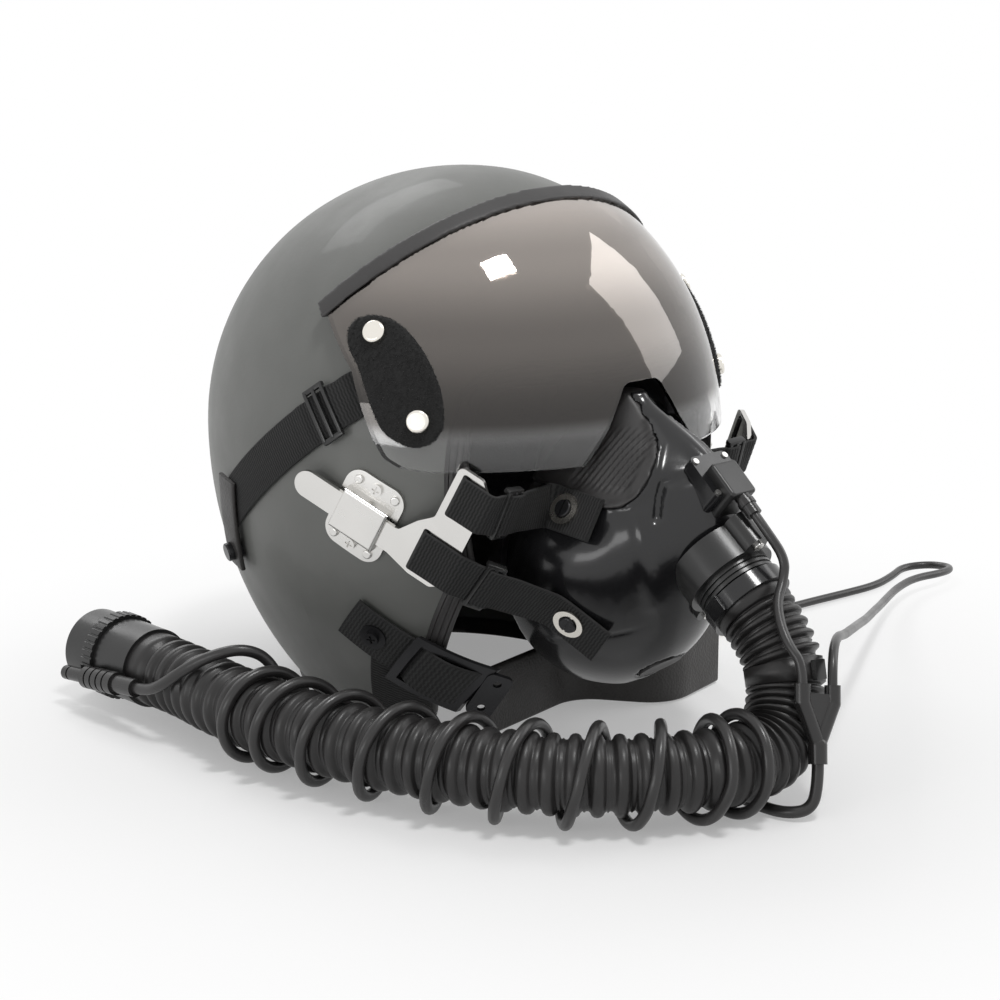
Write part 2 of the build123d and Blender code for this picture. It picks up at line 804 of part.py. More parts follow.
def mask_plane(y, z, lift=0.0):
    """A plane on the mask's right side: x forward, z outward."""
    low, high = 0.0, mask_half_width
    for _ in range(40):
        middle = (low + high) / 2
        if mask_gauge(middle, y, z) < 1:
            low = middle
        else:
            high = middle
    step = mask_half_width / 100
    slope = Vector(-(mask_gauge(low + step, y, z) - mask_gauge(low - step, y, z)),
                   mask_gauge(low, y + step, z) - mask_gauge(low, y - step, z),
                   mask_gauge(low, y, z + step) - mask_gauge(low, y, z - step)).normalized()
    return Plane(origin=at(-low, y, z) + slope * lift, x_dir=(0, -1, 0), z_dir=slope)


def face_zone(extra=0.0):
    """All that lies in front of the mask's back edge."""
    edge = [(-mask_reach * fore + extra, -mask_chin + rise * (mask_top + mask_chin)) for fore, rise in face_shares]
    return side_prism([(-span * 2, edge[0][1])] + edge + [(-span * 2, edge[-1][1])])


mask_out = mask_form(0.0)
mask_mid = mask_form(mask_wall)
face_out = mask_form(mask_wall + face_gap)
mask_in = mask_form(mask_wall + face_gap + face_wall)
nose_outline = [(nose_line[0][0], span)] + nose_line + [(span, nose_line[-1][1]), (span, span)]
nose_zone = side_prism(nose_outline, rounding=nose_line_rounding)
nose_zone_soft = side_prism(nose_outline, rounding=nose_line_rounding, grow=-face_gap)

port_plane = Plane(origin=at(0, -flange_fore, -flange_drop), x_dir=(1, 0, 0), z_dir=hose_dir)
port = extrude(port_plane * Circle(port_radius), amount=overrun, both=True)
exhaust_dir = Vector(0, -cos(radians(exhaust_tilt)), -sin(radians(exhaust_tilt)))
exhaust_plane = Plane(origin=at(0, -exhaust_fore, -exhaust_drop), x_dir=(1, 0, 0), z_dir=exhaust_dir)
exhaust = extrude(exhaust_plane * Circle(exhaust_radius + face_gap), amount=overrun / 2, both=True)

mask_shell = ((mask_out - mask_mid) - nose_zone) & face_zone()
mask_shell = mask_shell - port - exhaust
facepiece = (face_out - mask_in) & face_zone(face_lip)
facepiece = facepiece + (((mask_out - face_out) & nose_zone_soft) & face_zone(face_lip))
facepiece = facepiece - port - exhaust
write("mask_shell", mask_shell)
write("mask_facepiece", facepiece)


def hose_flange():
    """The oval flange with two ears, its back cut to the mask."""
    face = Circle(flange_radius)
    for side in (-1, 1):
        face = face + Pos(0, side * ear_place) * Circle(ear_radius)
    face = face - Circle(port_radius + face_gap)
    front = extrude(port_plane * face, amount=flange_thickness)
    back = extrude(port_plane * face, amount=-overrun / 3)
    return (front + back) - mask_out


flange = hose_flange()
write("hose_flange", flange)

collar_seat = port_plane.offset(flange_thickness)
spigot_radius = hose_bore - hose_fit
collar_face = Circle(collar_radius) - Circle(port_radius)
collar = extrude(collar_seat * collar_face, amount=collar_length)
for place in (0.3, 0.65):
    groove_plane = collar_seat.offset(collar_length * place)
    groove = extrude(groove_plane * (Circle(collar_radius + ring_groove) - Circle(collar_radius - ring_groove)),
                     amount=ring_groove)
    collar = collar - groove
spigot = extrude(collar_seat.offset(collar_length) * (Circle(spigot_radius) - Circle(port_radius)),
                 amount=spigot_length)
write("hose_collar", collar + spigot)

clamp_seat = collar_seat.offset(collar_length + clamp_start)
clamp_in = hose_radius + seat_gap
clamp_ring = extrude(clamp_seat * (Circle(clamp_in + clamp_thickness) - Circle(clamp_in)), amount=clamp_width)
lug = extrude(clamp_seat * Pos(-clamp_in - clamp_thickness, 0) * Rectangle(clamp_thickness * 2, clamp_lug),
              amount=clamp_width) - extrude(clamp_seat * Circle(clamp_in), amount=clamp_width)
write("hose_clamp", clamp_ring + lug)

flange_screws = []
for side in (-1, 1):
    seat = port_plane.offset(flange_thickness)
    spot = Pos(0, side * (ear_place + ear_radius / 4))
    head = extrude(seat * spot * Circle(flange_screw_radius), amount=flange_screw_height)
    notch = extrude(seat.offset(flange_screw_height) * spot * Rectangle(flange_screw_radius * 2, driver_slot / 2),
                    amount=-driver_depth / 2)
    flange_screws.append(head - notch)

# Microphone group on the snout
snout_normal = Vector(0, -sin(radians(snout_tilt)), cos(radians(snout_tilt)))
snout = Plane(origin=at(0, -snout_fore, snout_rise), x_dir=(1, 0, 0), z_dir=snout_normal)


def on_snout(width, start, length, low, high, rounding=0.0):
    """A block on the snout, its underside cut to the mask."""
    sketch = Pos(0, start + length / 2) * RectangleRounded(width, length, width / 8)
    block = extrude(snout.offset(low) * sketch, amount=high - low)
    if rounding:
        block = fillet(outermost(block.faces(), snout)[0].edges(), rounding)
    return block - mask_out


gauge_plate = on_snout(gauge_width, gauge_from, gauge_length, -boss_depth, gauge_rise)
mic_housing = on_snout(box_width, box_from, box_length, -boss_depth, box_height, box_rounding)
gauge_plate = gauge_plate - mic_housing
gauge_screws = []
for x in (-gauge_width / 3, gauge_width / 3):
    for place in (0.12, 0.88):
        spot = Pos(x * 1.2, gauge_from + gauge_length * place)
        head = extrude(snout.offset(gauge_rise) * spot * Circle(gauge_screw_radius), amount=gauge_screw_height)
        gauge_screws.append(head)
write("gauge_plate", gauge_plate)
write("mic_housing", mic_housing - flange)
write("mask_screws", Compound(children=flange_screws + gauge_screws))

plug_plane = Plane(origin=snout.origin + snout.y_dir * box_from + snout.z_dir * plug_rise,
                   x_dir=(1, 0, 0), z_dir=-snout.y_dir)
mic_plug = extrude(plug_plane * Circle(plug_radius), amount=plug_length)
mic_plug = mic_plug + extrude(plug_plane.offset(plug_length / 4) * Circle(plug_radius * 1.15), amount=plug_length / 4)
write("mic_plug", mic_plug)
mic_inside = snout.offset(-microphone_back)
mic_spot = Pos(0, box_from / 2)
microphone = extrude(mic_inside * mic_spot * Circle(microphone_radius), amount=-microphone_thickness)
microphone = microphone + extrude(mic_inside * mic_spot * Circle(microphone_radius / 3), amount=overrun / 2)
microphone = microphone & mask_in
write("microphone", microphone)

# Exhaust valve: seat, disc with its stem
seat_back = exhaust_plane.offset(-seat_depth)
seat_ring = Circle(exhaust_radius) - Circle(exhaust_radius - seat_wall)
for turn in (0, 60, 120):
    seat_ring = seat_ring + (Rot(0, 0, turn) * Rectangle(2 * exhaust_radius - seat_wall, spoke_width))
seat_ring = seat_ring + Circle(hub_radius)
seat_ring = seat_ring - Circle(stem_radius + stem_play)
valve_seat = extrude(seat_back * seat_ring, amount=seat_depth)
disc_back = exhaust_plane.offset(seat_gap)
valve = extrude(disc_back * Circle(disc_radius), amount=disc_thickness)
valve = valve + extrude(disc_back * Circle(stem_radius), amount=-(seat_depth + valve_travel + seat_gap * 2))
valve = valve + extrude(exhaust_plane.offset(-seat_depth - valve_travel - seat_gap)
                        * Circle(stem_radius * 1.6), amount=-disc_thickness)
write("valve_seat", valve_seat)
write("exhaust_valve", valve)


# Mask straps with their slides, eyelets and screws
def mask_strap(slot, eyelet, turn):
    """Webbing from a slot over the offset plate to the mask's side, with slide, eyelet and screw."""
    face = bar_plane.offset(bar_rise + bar_thickness + seat_gap + web_thickness / 2)
    begin = face.from_local_coords(Vector(slot[0] - slot_width / 2, slot[1], 0))
    edge = face.from_local_coords(Vector(offset_end + web_thickness, slot[1], 0))
    seat = mask_plane(*eyelet, lift=web_lift)
    rest = seat.x_dir * cos(radians(turn)) + seat.y_dir * sin(radians(turn))
    ahead = seat.origin + rest * web_tail
    behind = seat.origin - rest * (web_tail * web_rest_share)
    run = (behind - edge).normalized()
    wide = seat.z_dir.cross(rest)
    if wide.dot(face.y_dir) < 0:
        wide = wide * -1
    crease = seat.z_dir.cross(run + rest)
    crease = crease * (1 if crease.dot(wide) > 0 else -1)

    def webbing(clear):
        """The webbing from the slot over the plate's edge and down to the mask, or the room for it."""
        bends = ((begin, face.x_dir, face.y_dir), (edge, face.x_dir + run, face.y_dir),
                 (behind, run + rest, crease), (ahead, rest, wide))
        section = Rectangle(web_width + 2 * clear, web_thickness + 2 * clear)
        planes = [Plane(origin=spot, x_dir=broad - heading * (broad.dot(heading) / heading.dot(heading)), z_dir=heading)
                  for spot, heading, broad in bends]
        return loft([plane * section for plane in planes], ruled=True)

    web = (webbing(0.0) - mask_out - bar_room).solids().sort_by(SortBy.VOLUME)[-1]
    broad = face.y_dir * (1 - slide_share) + wide * slide_share
    broad = broad - run * broad.dot(run)
    frame_plane = Plane(origin=edge + (behind - edge) * slide_share, x_dir=broad, z_dir=run)
    frame_size = RectangleRounded(web_width + 2 * slide_overhang, slide_thickness, slide_thickness / 4)
    slide = extrude(frame_plane * frame_size, amount=slide_length / 2, both=True) - webbing(slide_play)
    top = Plane(origin=seat.origin + seat.z_dir * (web_thickness / 2 + seat_gap), x_dir=wide, z_dir=seat.z_dir)
    eyelet_ring = extrude(top * (Circle(eyelet_radius) - Circle(eyelet_hole)), amount=eyelet_thickness)
    screw = extrude(top * Circle(strap_screw_radius), amount=strap_screw_height)
    screw = fillet(outermost(screw.edges(), top), strap_screw_height / 4)
    screw = screw - extrude(top.offset(strap_screw_height) * Rectangle(strap_screw_radius * 3, driver_slot),
                            amount=-driver_depth)
    return {"web": web, "slide": slide - mask_out - bar_room, "eyelet": eyelet_ring, "screw": screw}


bar_room = bayonet(slotted=False, clear=seat_gap)
upper = mask_strap(upper_slot_place, upper_eyelet, upper_strap_turn)
lower = mask_strap(lower_slot_place, lower_eyelet, lower_strap_turn)
write("mask_strap_upper_right", upper["web"])
write("mask_strap_upper_left", mirrored(upper["web"]))
write("mask_strap_lower_right", lower["web"])
write("mask_strap_lower_left", mirrored(lower["web"]))
write("strap_slides", both_sides([upper["slide"], lower["slide"]]))
write("strap_eyelets", both_sides([upper["eyelet"], lower["eyelet"]]))
write("strap_screws", both_sides([upper["screw"], lower["screw"]]))

# Breathing hose: route, ribs and bore
hose_start = port_plane.origin + hose_dir * (flange_thickness + collar_length + hose_fit)
hose_points = [
    tuple(hose_start), tuple(hose_start + hose_dir * hose_first_run), (-3.5, -189.5, 41.0), (-22.0, -198.0, 24.1), (-50.0, -197.5, 24.1),
    (-77.0, -185.0, 24.1), (-102.0, -166.0, 24.1), (-123.0, -139.0, 24.1), (-138.0, -106.0, 24.1),
    (-149.0, -72.0, 24.1), (-154.5, -35.0, 24.1), (-156.5, 1.0, 24.1), (-154.5, 34.0, 23.6),
    (-147.5, 62.0, 21.9), (-147.5, 93.0, 21.9)]
hose_path = route("breathing_hose", hose_points)
hose_length = hose_path.length


def hose_point(place):
    return hose_path.position_at(place, position_mode=PositionMode.LENGTH)


def hose_tangent(place):
    return hose_path.tangent_at(place, position_mode=PositionMode.LENGTH)


def hose_circle(place, radius):
    """A ring of the hose, square to its path, with a steady X axis."""
    tangent = hose_tangent(place)
    steady = Vector(0.3, -0.5, 0.8)
    x_dir = (steady - tangent * steady.dot(tangent)).normalized()
    return Plane(origin=hose_point(place), x_dir=x_dir, z_dir=tangent) * Circle(radius)


def hose_rings():
    """Places along the hose and radii: four rings to a rib, plain ends and a plain cuff."""
    valley = hose_radius - hose_groove
    rings = [(0.0, hose_radius), (hose_end_plain, hose_radius)]
    stretches = ((hose_end_plain, cuff_from, bend_pitch), (cuff_to, bend_end, bend_pitch),
                 (bend_end, hose_length - hose_end_plain, rib_pitch))
    for start, end, aim in stretches:
        count = round((end - start) / aim)
        pitch = (end - start) / count
        for rib in range(count):
            base = start + rib * pitch
            rings.append((base + pitch * rib_start_share, valley))
            rings.append((base + pitch * rib_rise_share, hose_radius))
            rings.append((base + pitch * rib_crest_share, hose_radius))
            rings.append((base + pitch * rib_fall_share, valley))
        if end == cuff_from:
            rings.append((cuff_from, hose_radius))
            rings.append((cuff_to, hose_radius))
    rings.append((hose_length - hose_end_plain, hose_radius))
    rings.append((hose_length, hose_radius))
    return rings


def ribbed_hose():
    """Ruled lofts through the rings, end to end, with the bore taken out."""
    rings = hose_rings()
    outer = None
    for first in range(0, len(rings) - 1, rings_at_once):
        part = loft([hose_circle(*ring) for ring in rings[first:first + rings_at_once + 1]], ruled=True)
        outer = part if outer is None else outer + part
    print("hose rings", len(rings), "ribs", (len(rings) - 6) // 4)
    return outer - tube("hose bore", hose_path, hose_bore)


hose = ribbed_hose()
write("breathing_hose", hose)

# Connector and its locking ring, on the hose's last run along +Y
end_plane = Plane(origin=Vector(*hose_points[-1]), x_dir=(1, 0, 0), z_dir=(0, 1, 0))
sleeve = extrude(end_plane * Circle(sleeve_radius), amount=sleeve_length)
barrel = extrude(end_plane.offset(sleeve_length) * Circle(barrel_radius), amount=barrel_length)
lip_start = ring_width + 2 * ring_shake
lip = extrude(end_plane.offset(sleeve_length + lip_start) * Circle(barrel_radius + barrel_lip),
              amount=barrel_length - lip_start)
end_spigot = extrude(end_plane * Circle(spigot_radius), amount=-spigot_length)
connector = sleeve + barrel + lip + end_spigot
connector = connector - extrude(end_plane.offset(-spigot_length) * Circle(barrel_bore),
                                amount=spigot_length + sleeve_length + barrel_length)
ring_plane = end_plane.offset(sleeve_length + ring_shake)
ring_face = Circle(ring_radius) - Circle(barrel_radius + ring_play)
for knurl in PolarLocations(ring_radius + knurl_radius / 3, knurls):
    ring_face = ring_face - knurl * Circle(knurl_radius)
write("hose_connector", connector)
write("connector_ring", extrude(ring_plane * ring_face, amount=ring_width))

# Clip on the hose's cuff
clip_place = (cuff_from + cuff_to) / 2
clip_out = Vector(0.05, -0.95, 0.2)
clip_tangent = hose_tangent(clip_place)
clip_out = (clip_out - clip_tangent * clip_out.dot(clip_tangent)).normalized()
clip_plane = Plane(origin=hose_point(clip_place) + clip_out * hose_radius, x_dir=clip_tangent, z_dir=clip_out)
clip_block = extrude(clip_plane * RectangleRounded(clip_length, clip_width, clip_height / 4),
                     amount=clip_height, both=True)
cuff_core = extrude(Plane(origin=hose_point(clip_place), z_dir=clip_tangent) * Circle(hose_radius + seat_gap),
                    amount=clip_length, both=True)
write("hose_clip", clip_block - cuff_core)

# Moulded junction where the two cables join the lead
yoke_top = Vector(-9.3, -210.7, 55.5)
yoke_bottom = Vector(-18.3, -219.7, 23.2)
yoke_up = (yoke_top - yoke_bottom).normalized()
yoke_side = Vector(16.7, -4.3, -4.5)
yoke_side = (yoke_side - yoke_up * yoke_side.dot(yoke_up)).normalized()
yoke_plane = Plane(origin=yoke_top, x_dir=yoke_side, z_dir=yoke_side.cross(yoke_up))
yoke_height = (yoke_top - yoke_bottom).length
mic_entry = yoke_top - yoke_side * entry_spread
ear_entry = yoke_top + yoke_side * entry_spread


def rod(start, end, radius):
    run = end - start
    return extrude(Plane(origin=start, z_dir=run) * Circle(radius), amount=run.length)


def junction():
    """Two sockets that run together into one foot, with a web between them."""
    waist = yoke_bottom + yoke_up * (2 * yoke_foot)
    body = rod(waist, yoke_bottom, yoke_foot) + Pos(waist.X, waist.Y, waist.Z) * Sphere(yoke_foot)
    for entry in (mic_entry, ear_entry):
        shoulder = entry - yoke_up * (2 * entry_length)
        body = body + rod(entry, shoulder, entry_radius) + Pos(*shoulder) * Sphere(entry_radius)
        body = body + rod(shoulder, waist, entry_radius)
    web = make_face(Polyline((-entry_spread, -entry_length), (entry_spread, -entry_length),
                             (entry_spread, -2 * entry_length), (yoke_foot / 2, -yoke_height + yoke_foot),
                             (-yoke_foot / 2, -yoke_height + yoke_foot),
                             (-entry_spread, -2 * entry_length), close=True))
    return body + extrude(yoke_plane * web, amount=yoke_web / 2, both=True)


write("lead_junction", junction())

# Cables from the microphone and the earphones to the junction
mic_cable_points = [
    tuple(plug_plane.origin + plug_plane.z_dir * plug_length),
    tuple(plug_plane.origin + plug_plane.z_dir * (plug_length + 2 * cable_diameter)),
    (3.5, -179.5, 104.0), (-0.5, -182.0, 95.0), (-8.5, -185.5, 88.0), (-13.0, -191.5, 80.0),
    (-16.0, -199.5, 72.0), tuple(mic_entry + yoke_up * (2 * cable_diameter)), tuple(mic_entry)]
earphone_cable_points = [
    (84.0, 16.1, 43.8), (84.0, 15.0, 33.0), (75.0, -2.0, 23.0), (60.0, -17.0, 14.5), (51.0, -32.0, 7.5), (60.0, -43.5, 3.0),
    (79.0, -41.0, 2.4), (98.0, -28.0, 2.4), (120.0, -15.0, 2.4), (143.0, -6.5, 3.2), (168.0, -5.0, 3.2),
    (198.0, -7.0, 2.4), (228.0, -8.0, 2.4), (256.0, -10.5, 2.4), (282.0, -12.0, 2.4), (305.0, -6.0, 2.4),
    (324.0, 1.5, 2.6), (339.0, -7.5, 3.4), (337.0, -25.0, 5.2), (319.0, -32.0, 7.0), (293.0, -31.0, 8.6),
    (266.0, -40.0, 10.0), (238.0, -55.0, 13.0), (206.0, -75.0, 19.0), (172.0, -97.0, 27.0),
    (138.0, -120.0, 35.5), (104.0, -142.0, 44.5), (72.0, -163.0, 53.0), (44.0, -181.5, 60.5),
    (22.0, -195.0, 67.5), tuple(ear_entry + yoke_up * (3 * cable_diameter)), tuple(ear_entry)]
mic_cable = tube("mic_cable", route("mic_cable", mic_cable_points), cable_diameter / 2)
ear_path = route("earphone_cable", earphone_cable_points)
earphone_cable = tube("earphone_cable", ear_path, cable_diameter / 2)
write("mic_cable", mic_cable)
write("earphone_cable", earphone_cable)
marker_start, marker_end = [Vector(*point) for point in earphone_cable_points[9:11]]
marker_plane = Plane(origin=(marker_start + marker_end) * 0.5, z_dir=marker_end - marker_start)
marker = extrude(marker_plane * (Circle(marker_radius) - Circle(marker_bore)), amount=marker_length / 2, both=True)
write("cable_sleeve", marker)

# Lead wound round the hose: places along the hose where it passes the front, by half turns
winding_radius = hose_radius + lead_gap + lead_diameter / 2
winding_places = [(-180, 92.5), (90, 104.0), (450, 118.0), (810, 148.0), (1170, 175.5), (1530, 205.0),
                  (1890, 234.5), (2250, 266.5), (2610, 297.0), (2970, 325.0), (3330, 346.5), (3510, 352.0)]


def winding_at(angle):
    """A point of the lead's axis on the hose; 0 is over the top and 90 at the front."""
    place = winding_places[-1][1]
    for (low, start), (high, end) in zip(winding_places, winding_places[1:]):
        if low <= angle <= high:
            place = start + (end - start) * (angle - low) / (high - low)
            break
    centre, tangent = hose_point(place), hose_tangent(place)
    up = (Vector(0, 0, 1) - tangent * tangent.Z).normalized()
    front = up.cross(tangent)
    return centre + (up * cos(radians(angle)) + front * sin(radians(angle))) * winding_radius


def winding_tangent(angle):
    low, high = winding_places[0][0], winding_places[-1][0]
    return (winding_at(min(angle + 1, high)) - winding_at(max(angle - 1, low))).normalized()


def biarc(start, start_dir, end, end_dir):
    """Two tangent arcs between two points."""
    gap = end - start
    both = start_dir + end_dir
    a = 2 * (start_dir.dot(end_dir) - 1)
    b = -2 * gap.dot(both)
    c = gap.dot(gap)
    reach = (-b - sqrt(b * b - 4 * a * c)) / (2 * a) if abs(a) > 1e-9 else -c / b
    first, second = start + start_dir * reach, end - end_dir * reach
    middle = (first + second) * 0.5
    return [Edge.make_tangent_arc(start, start_dir, middle),
            Edge.make_tangent_arc(middle, second - first, end)]


def winding_path():
    """Biarcs of quarter turns, and the least gap of the lead to itself."""
    angles = list(range(winding_places[0][0], winding_places[-1][0] + 1, 90))
    edges = []
    for low, high in zip(angles, angles[1:]):
        edges += biarc(winding_at(low), winding_tangent(low), winding_at(high), winding_tangent(high))
    samples = [edge.position_at(share / 6) for edge in edges for share in range(6)]
    least = min((one - two).length for number, one in enumerate(samples) for two in samples[number + 24:])
    print("winding turns", (angles[-1] - angles[0]) / 360, "least gap", round(least - lead_diameter, 2))
    return Wire(edges)


coil_path = winding_path()
coil = tube("comm_lead_coil", coil_path, lead_diameter / 2)
write("comm_lead_coil", coil)
coil_start, coil_end = winding_at(winding_places[0][0]), winding_at(winding_places[-1][0])
start_dir = winding_tangent(winding_places[0][0])
end_dir = winding_tangent(winding_places[-1][0])
plug_start = Vector(-173.8, 72.0, 22.6)
plug_dir = Vector(0.8, 60.8, -6.4).normalized()
lead_start_points = [tuple(yoke_bottom), tuple(yoke_bottom - yoke_up * (1.4 * lead_diameter)),
                     (-25.0, -223.0, 5.0), (-33.0, -215.0, 2.8),
                     tuple(coil_start - start_dir * (1.4 * lead_diameter)), tuple(coil_start)]
lead_end_points = [tuple(coil_end), tuple(coil_end + end_dir * (1.4 * lead_diameter)),
                   (-138.0, 13.0, 43.0), (-149.0, 18.0, 49.6), (-160.5, 27.0, 47.0), (-169.5, 39.0, 38.5),
                   (-173.6, 52.0, 28.5), tuple(plug_start - plug_dir * (1.6 * lead_diameter)), tuple(plug_start)]
write("comm_lead_start", tube("comm_lead_start", route("comm_lead_start", lead_start_points), lead_diameter / 2))
write("comm_lead_end", tube("comm_lead_end", route("comm_lead_end", lead_end_points), lead_diameter / 2))

# Lead's plug: boot, grip and pin
boot_end = plug_start + plug_dir * comm_boot_length
grip_end = boot_end + plug_dir * comm_plug_length
plug = rod(plug_start, boot_end, comm_boot_radius) + rod(boot_end, grip_end, comm_plug_radius)
for share in (0.2, 0.4, 0.6, 0.8):
    middle = boot_end + plug_dir * (comm_plug_length * share)
    around = Circle(comm_plug_radius * 2) - Circle(comm_plug_radius - grip_groove)
    plug = plug - extrude(Plane(origin=middle, z_dir=plug_dir) * around, amount=grip_groove)
pin_neck = grip_end + plug_dir * (comm_pin_length * 0.72)
pin = rod(grip_end, pin_neck, comm_pin_radius)
pin = pin + rod(pin_neck, pin_neck + plug_dir * grip_groove, comm_pin_radius - grip_groove)
pin = pin + rod(pin_neck + plug_dir * grip_groove, grip_end + plug_dir * comm_pin_length, comm_pin_radius)
write("comm_plug", plug + pin)
print("nodes", len(written))
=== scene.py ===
import json
from math import cos, exp, floor, hypot, pi, radians, sin, sqrt, tan

import bmesh
import bpy
import numpy as np
from bpy.props import FloatProperty, FloatVectorProperty, PointerProperty
from bpy.types import Operator, Panel, PropertyGroup
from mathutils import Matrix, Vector, noise


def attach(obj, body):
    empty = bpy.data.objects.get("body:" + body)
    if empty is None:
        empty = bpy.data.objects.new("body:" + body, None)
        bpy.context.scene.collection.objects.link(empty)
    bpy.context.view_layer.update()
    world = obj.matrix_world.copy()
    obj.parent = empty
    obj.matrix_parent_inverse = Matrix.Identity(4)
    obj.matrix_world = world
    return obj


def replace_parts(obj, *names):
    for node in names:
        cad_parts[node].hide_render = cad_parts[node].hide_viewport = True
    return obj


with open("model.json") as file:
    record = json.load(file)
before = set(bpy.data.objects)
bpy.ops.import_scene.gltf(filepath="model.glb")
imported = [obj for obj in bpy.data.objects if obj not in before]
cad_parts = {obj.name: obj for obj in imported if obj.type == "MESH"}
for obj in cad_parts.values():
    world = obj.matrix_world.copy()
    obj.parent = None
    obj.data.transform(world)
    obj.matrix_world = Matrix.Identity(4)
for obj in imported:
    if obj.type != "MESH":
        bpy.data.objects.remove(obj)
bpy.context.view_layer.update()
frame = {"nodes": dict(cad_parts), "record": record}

bl_info = {
    "name": "Pilot flight helmet",
    "version": (1, 0, 0),
    "blender": (4, 5, 0),
    "location": "View3D > Sidebar > Helmet",
    "description": "Builds the looks of a flight helmet with its oxygen mask, hose and leads",
    "category": "Object",
}

MM = 0.001
SIDES = ((-1, "right"), (1, "left"))

# Steps of every rounded corner, and how much of a run the bend of a strap may take
ARC_STEPS, BEND_SHARE = 8, 0.48

# Dome of the shell, in millimetres: places on it are (y, z) from its centre
DOME_Y, DOME_Z = 24.1163, 130.0
HALF_WIDTH, FRONT, BACK, TOP, BOTTOM = 119.0, 116.0, 150.0, 132.0, 168.0

# Opening of the shell, from the brow down the cheek and the jaw to the lower rim
OPENING = [(-80.0, 52.0), (-80.0, -42.0), (-60.0, -84.0), (-38.0, -127.0)]
OPENING_ROUNDING = 14.0
# Beading round that edge: its section, as steps across the edge and out of the shell
EDGE_SECTION = [
    (-8.0, -0.2), (-7.6, 1.0), (-6.6, 1.7), (-5.9, 1.85), (-5.5, 1.35), (-5.1, 1.95), (-3.0, 2.05),
    (-2.6, 1.5), (-2.2, 2.05), (0.0, 1.95), (0.5, 1.35), (0.9, 1.75), (2.3, 0.8), (2.95, -0.8),
    (2.9, -2.4), (2.3, -3.8), (0.9, -4.7), (-1.5, -4.95), (-5.0, -5.0), (-7.2, -4.7), (-8.0, -3.6),
]
# Steps over the brow and the rim, where the rim's run starts behind the jaw, and the spacing of the sections
BROW_STEPS, RIM_STEPS, RIM_FROM, RIM_CORNER, EDGE_STEP = 30, 60, 20, 40, 2.5
FLOOR_GAP = 0.0002

# Bayonet bar's plane on the right side, with the webbing's face on the offset plate
BAR_PLACE, BAR_FALL = (-46.0, -16.0), 31.0
WEB_FACE, PLATE_EDGE = 6.7, 51.8
UPPER_SLOT, LOWER_SLOT = (36.5, 37.5), (31.5, 3.7)
SLIDE_SHARE = 0.3
# Mask webbing: steps from the slot and height over the plate, then steps along the strap and out of its slide
WEB_ON_PLATE = [(0.0, 2.5), (-1.5, WEB_FACE + 0.2), (6.0, WEB_FACE)]
WEB_AT_SLIDE = [(-5.0, 1.2), (0.5, -0.4), (4.0, -0.8)]
END_AT_SLIDE = [(-3.4, -0.4), (-1.8, 2.6), (3.5, 3.0)]
END_PAST_SLIDE, END_TURN_SHARE = (8.5, 1.2), 0.4
WEB_BEND, END_BEND = 2.5, 4.0
EYELET_SEAT, EYELET_RISE, EYELET_BEHIND, EYELET_AHEAD = 1.4, 0.5, 9.5, 19.0
SLIDE_LIFT = 0.4

# Frames of slides and triglides: length, width and height, the width of their rails and bars, and the bevel
SLIDE_SIZE, TRIGLIDE_SIZE = (10.0, 26.0, 3.6), (12.0, 28.0, 2.4)
RAIL_WIDTH, BAR_WIDTH, FRAME_BEVEL = 2.4, 1.9, 0.55
BAR_DROP_SHARE, BAR_HEIGHT_SHARE = 0.35, 0.6

# Straps on the shell: start, end and height over it in millimetres, then width and thickness in metres
CHIN_MAIN = ((-41.0, -75.0), (-71.0, -102.0), 3.3, 0.025, 0.002)
CHIN_LEG = ((-52.0, -84.0), (-36.0, -121.0), 3.25, 0.025, 0.0018)
NAPE_TAB = ((49.0, -14.0), (55.0, -60.0), 3.6, 0.017, 0.0022)
CHIN_OVERRUN = 12.0
# Fold of the chin webbing over its buckle: where it begins and ends, its height, rise, width and thickness
FOLD_FROM, FOLD_TO, FOLD_LIFT, FOLD_RISE, FOLD_WIDTH, FOLD_THICKNESS = 19.5, 41.0, 3.4, 4.6, 0.024, 0.0018
# Band under the chin: its corners seen from above, their rounding, its middle height, width and thickness
CHIN_BAND = [(-54.0, -70.0), (16.0, -57.0), (44.0, -97.0), (88.0, -87.5)]
BAND_ROUNDING, BAND_LEVEL, BAND_WIDTH, BAND_THICKNESS = 22.0, 0.0172, 0.034, 0.0035

# Visor: strap, triglide and the outline of the hook patch
STRAP_FROM, STRAP_TO, TRIGLIDE_SHARE = (-56.6, 52.2), (54.0, -30.0), 0.27
STRAP_LIFT, STRAP_WIDTH, STRAP_THICKNESS = 1.4, 0.022, 0.002
TRIGLIDE_LIFT, TRIGLIDE_AHEAD_SHARE = 3.4, 0.05
PUCKER_HEIGHT, PUCKER_REACH, PUCKER_PITCH = 1.5, 13.0, 9.5
LENS_OUT, PATCH_RISE = 7.2, 1.8
PATCH_OUTLINE = [
    (-37.5, 59.7), (-42.5, 55.3), (-48.2, 46.6), (-52.8, 38.1), (-57.2, 30.4), (-61.3, 24.4), (-67.3, 20.8),
    (-72.8, 18.9), (-77.7, 20.4), (-80.4, 24.1), (-81.5, 29.0), (-80.3, 36.9), (-77.6, 45.1), (-73.3, 52.8),
    (-68.4, 59.9), (-59.7, 68.5), (-52.2, 73.3), (-44.7, 75.4), (-37.5, 74.9), (-33.4, 72.0), (-33.2, 66.7),
]
TRIM_VOXEL = 0.0011
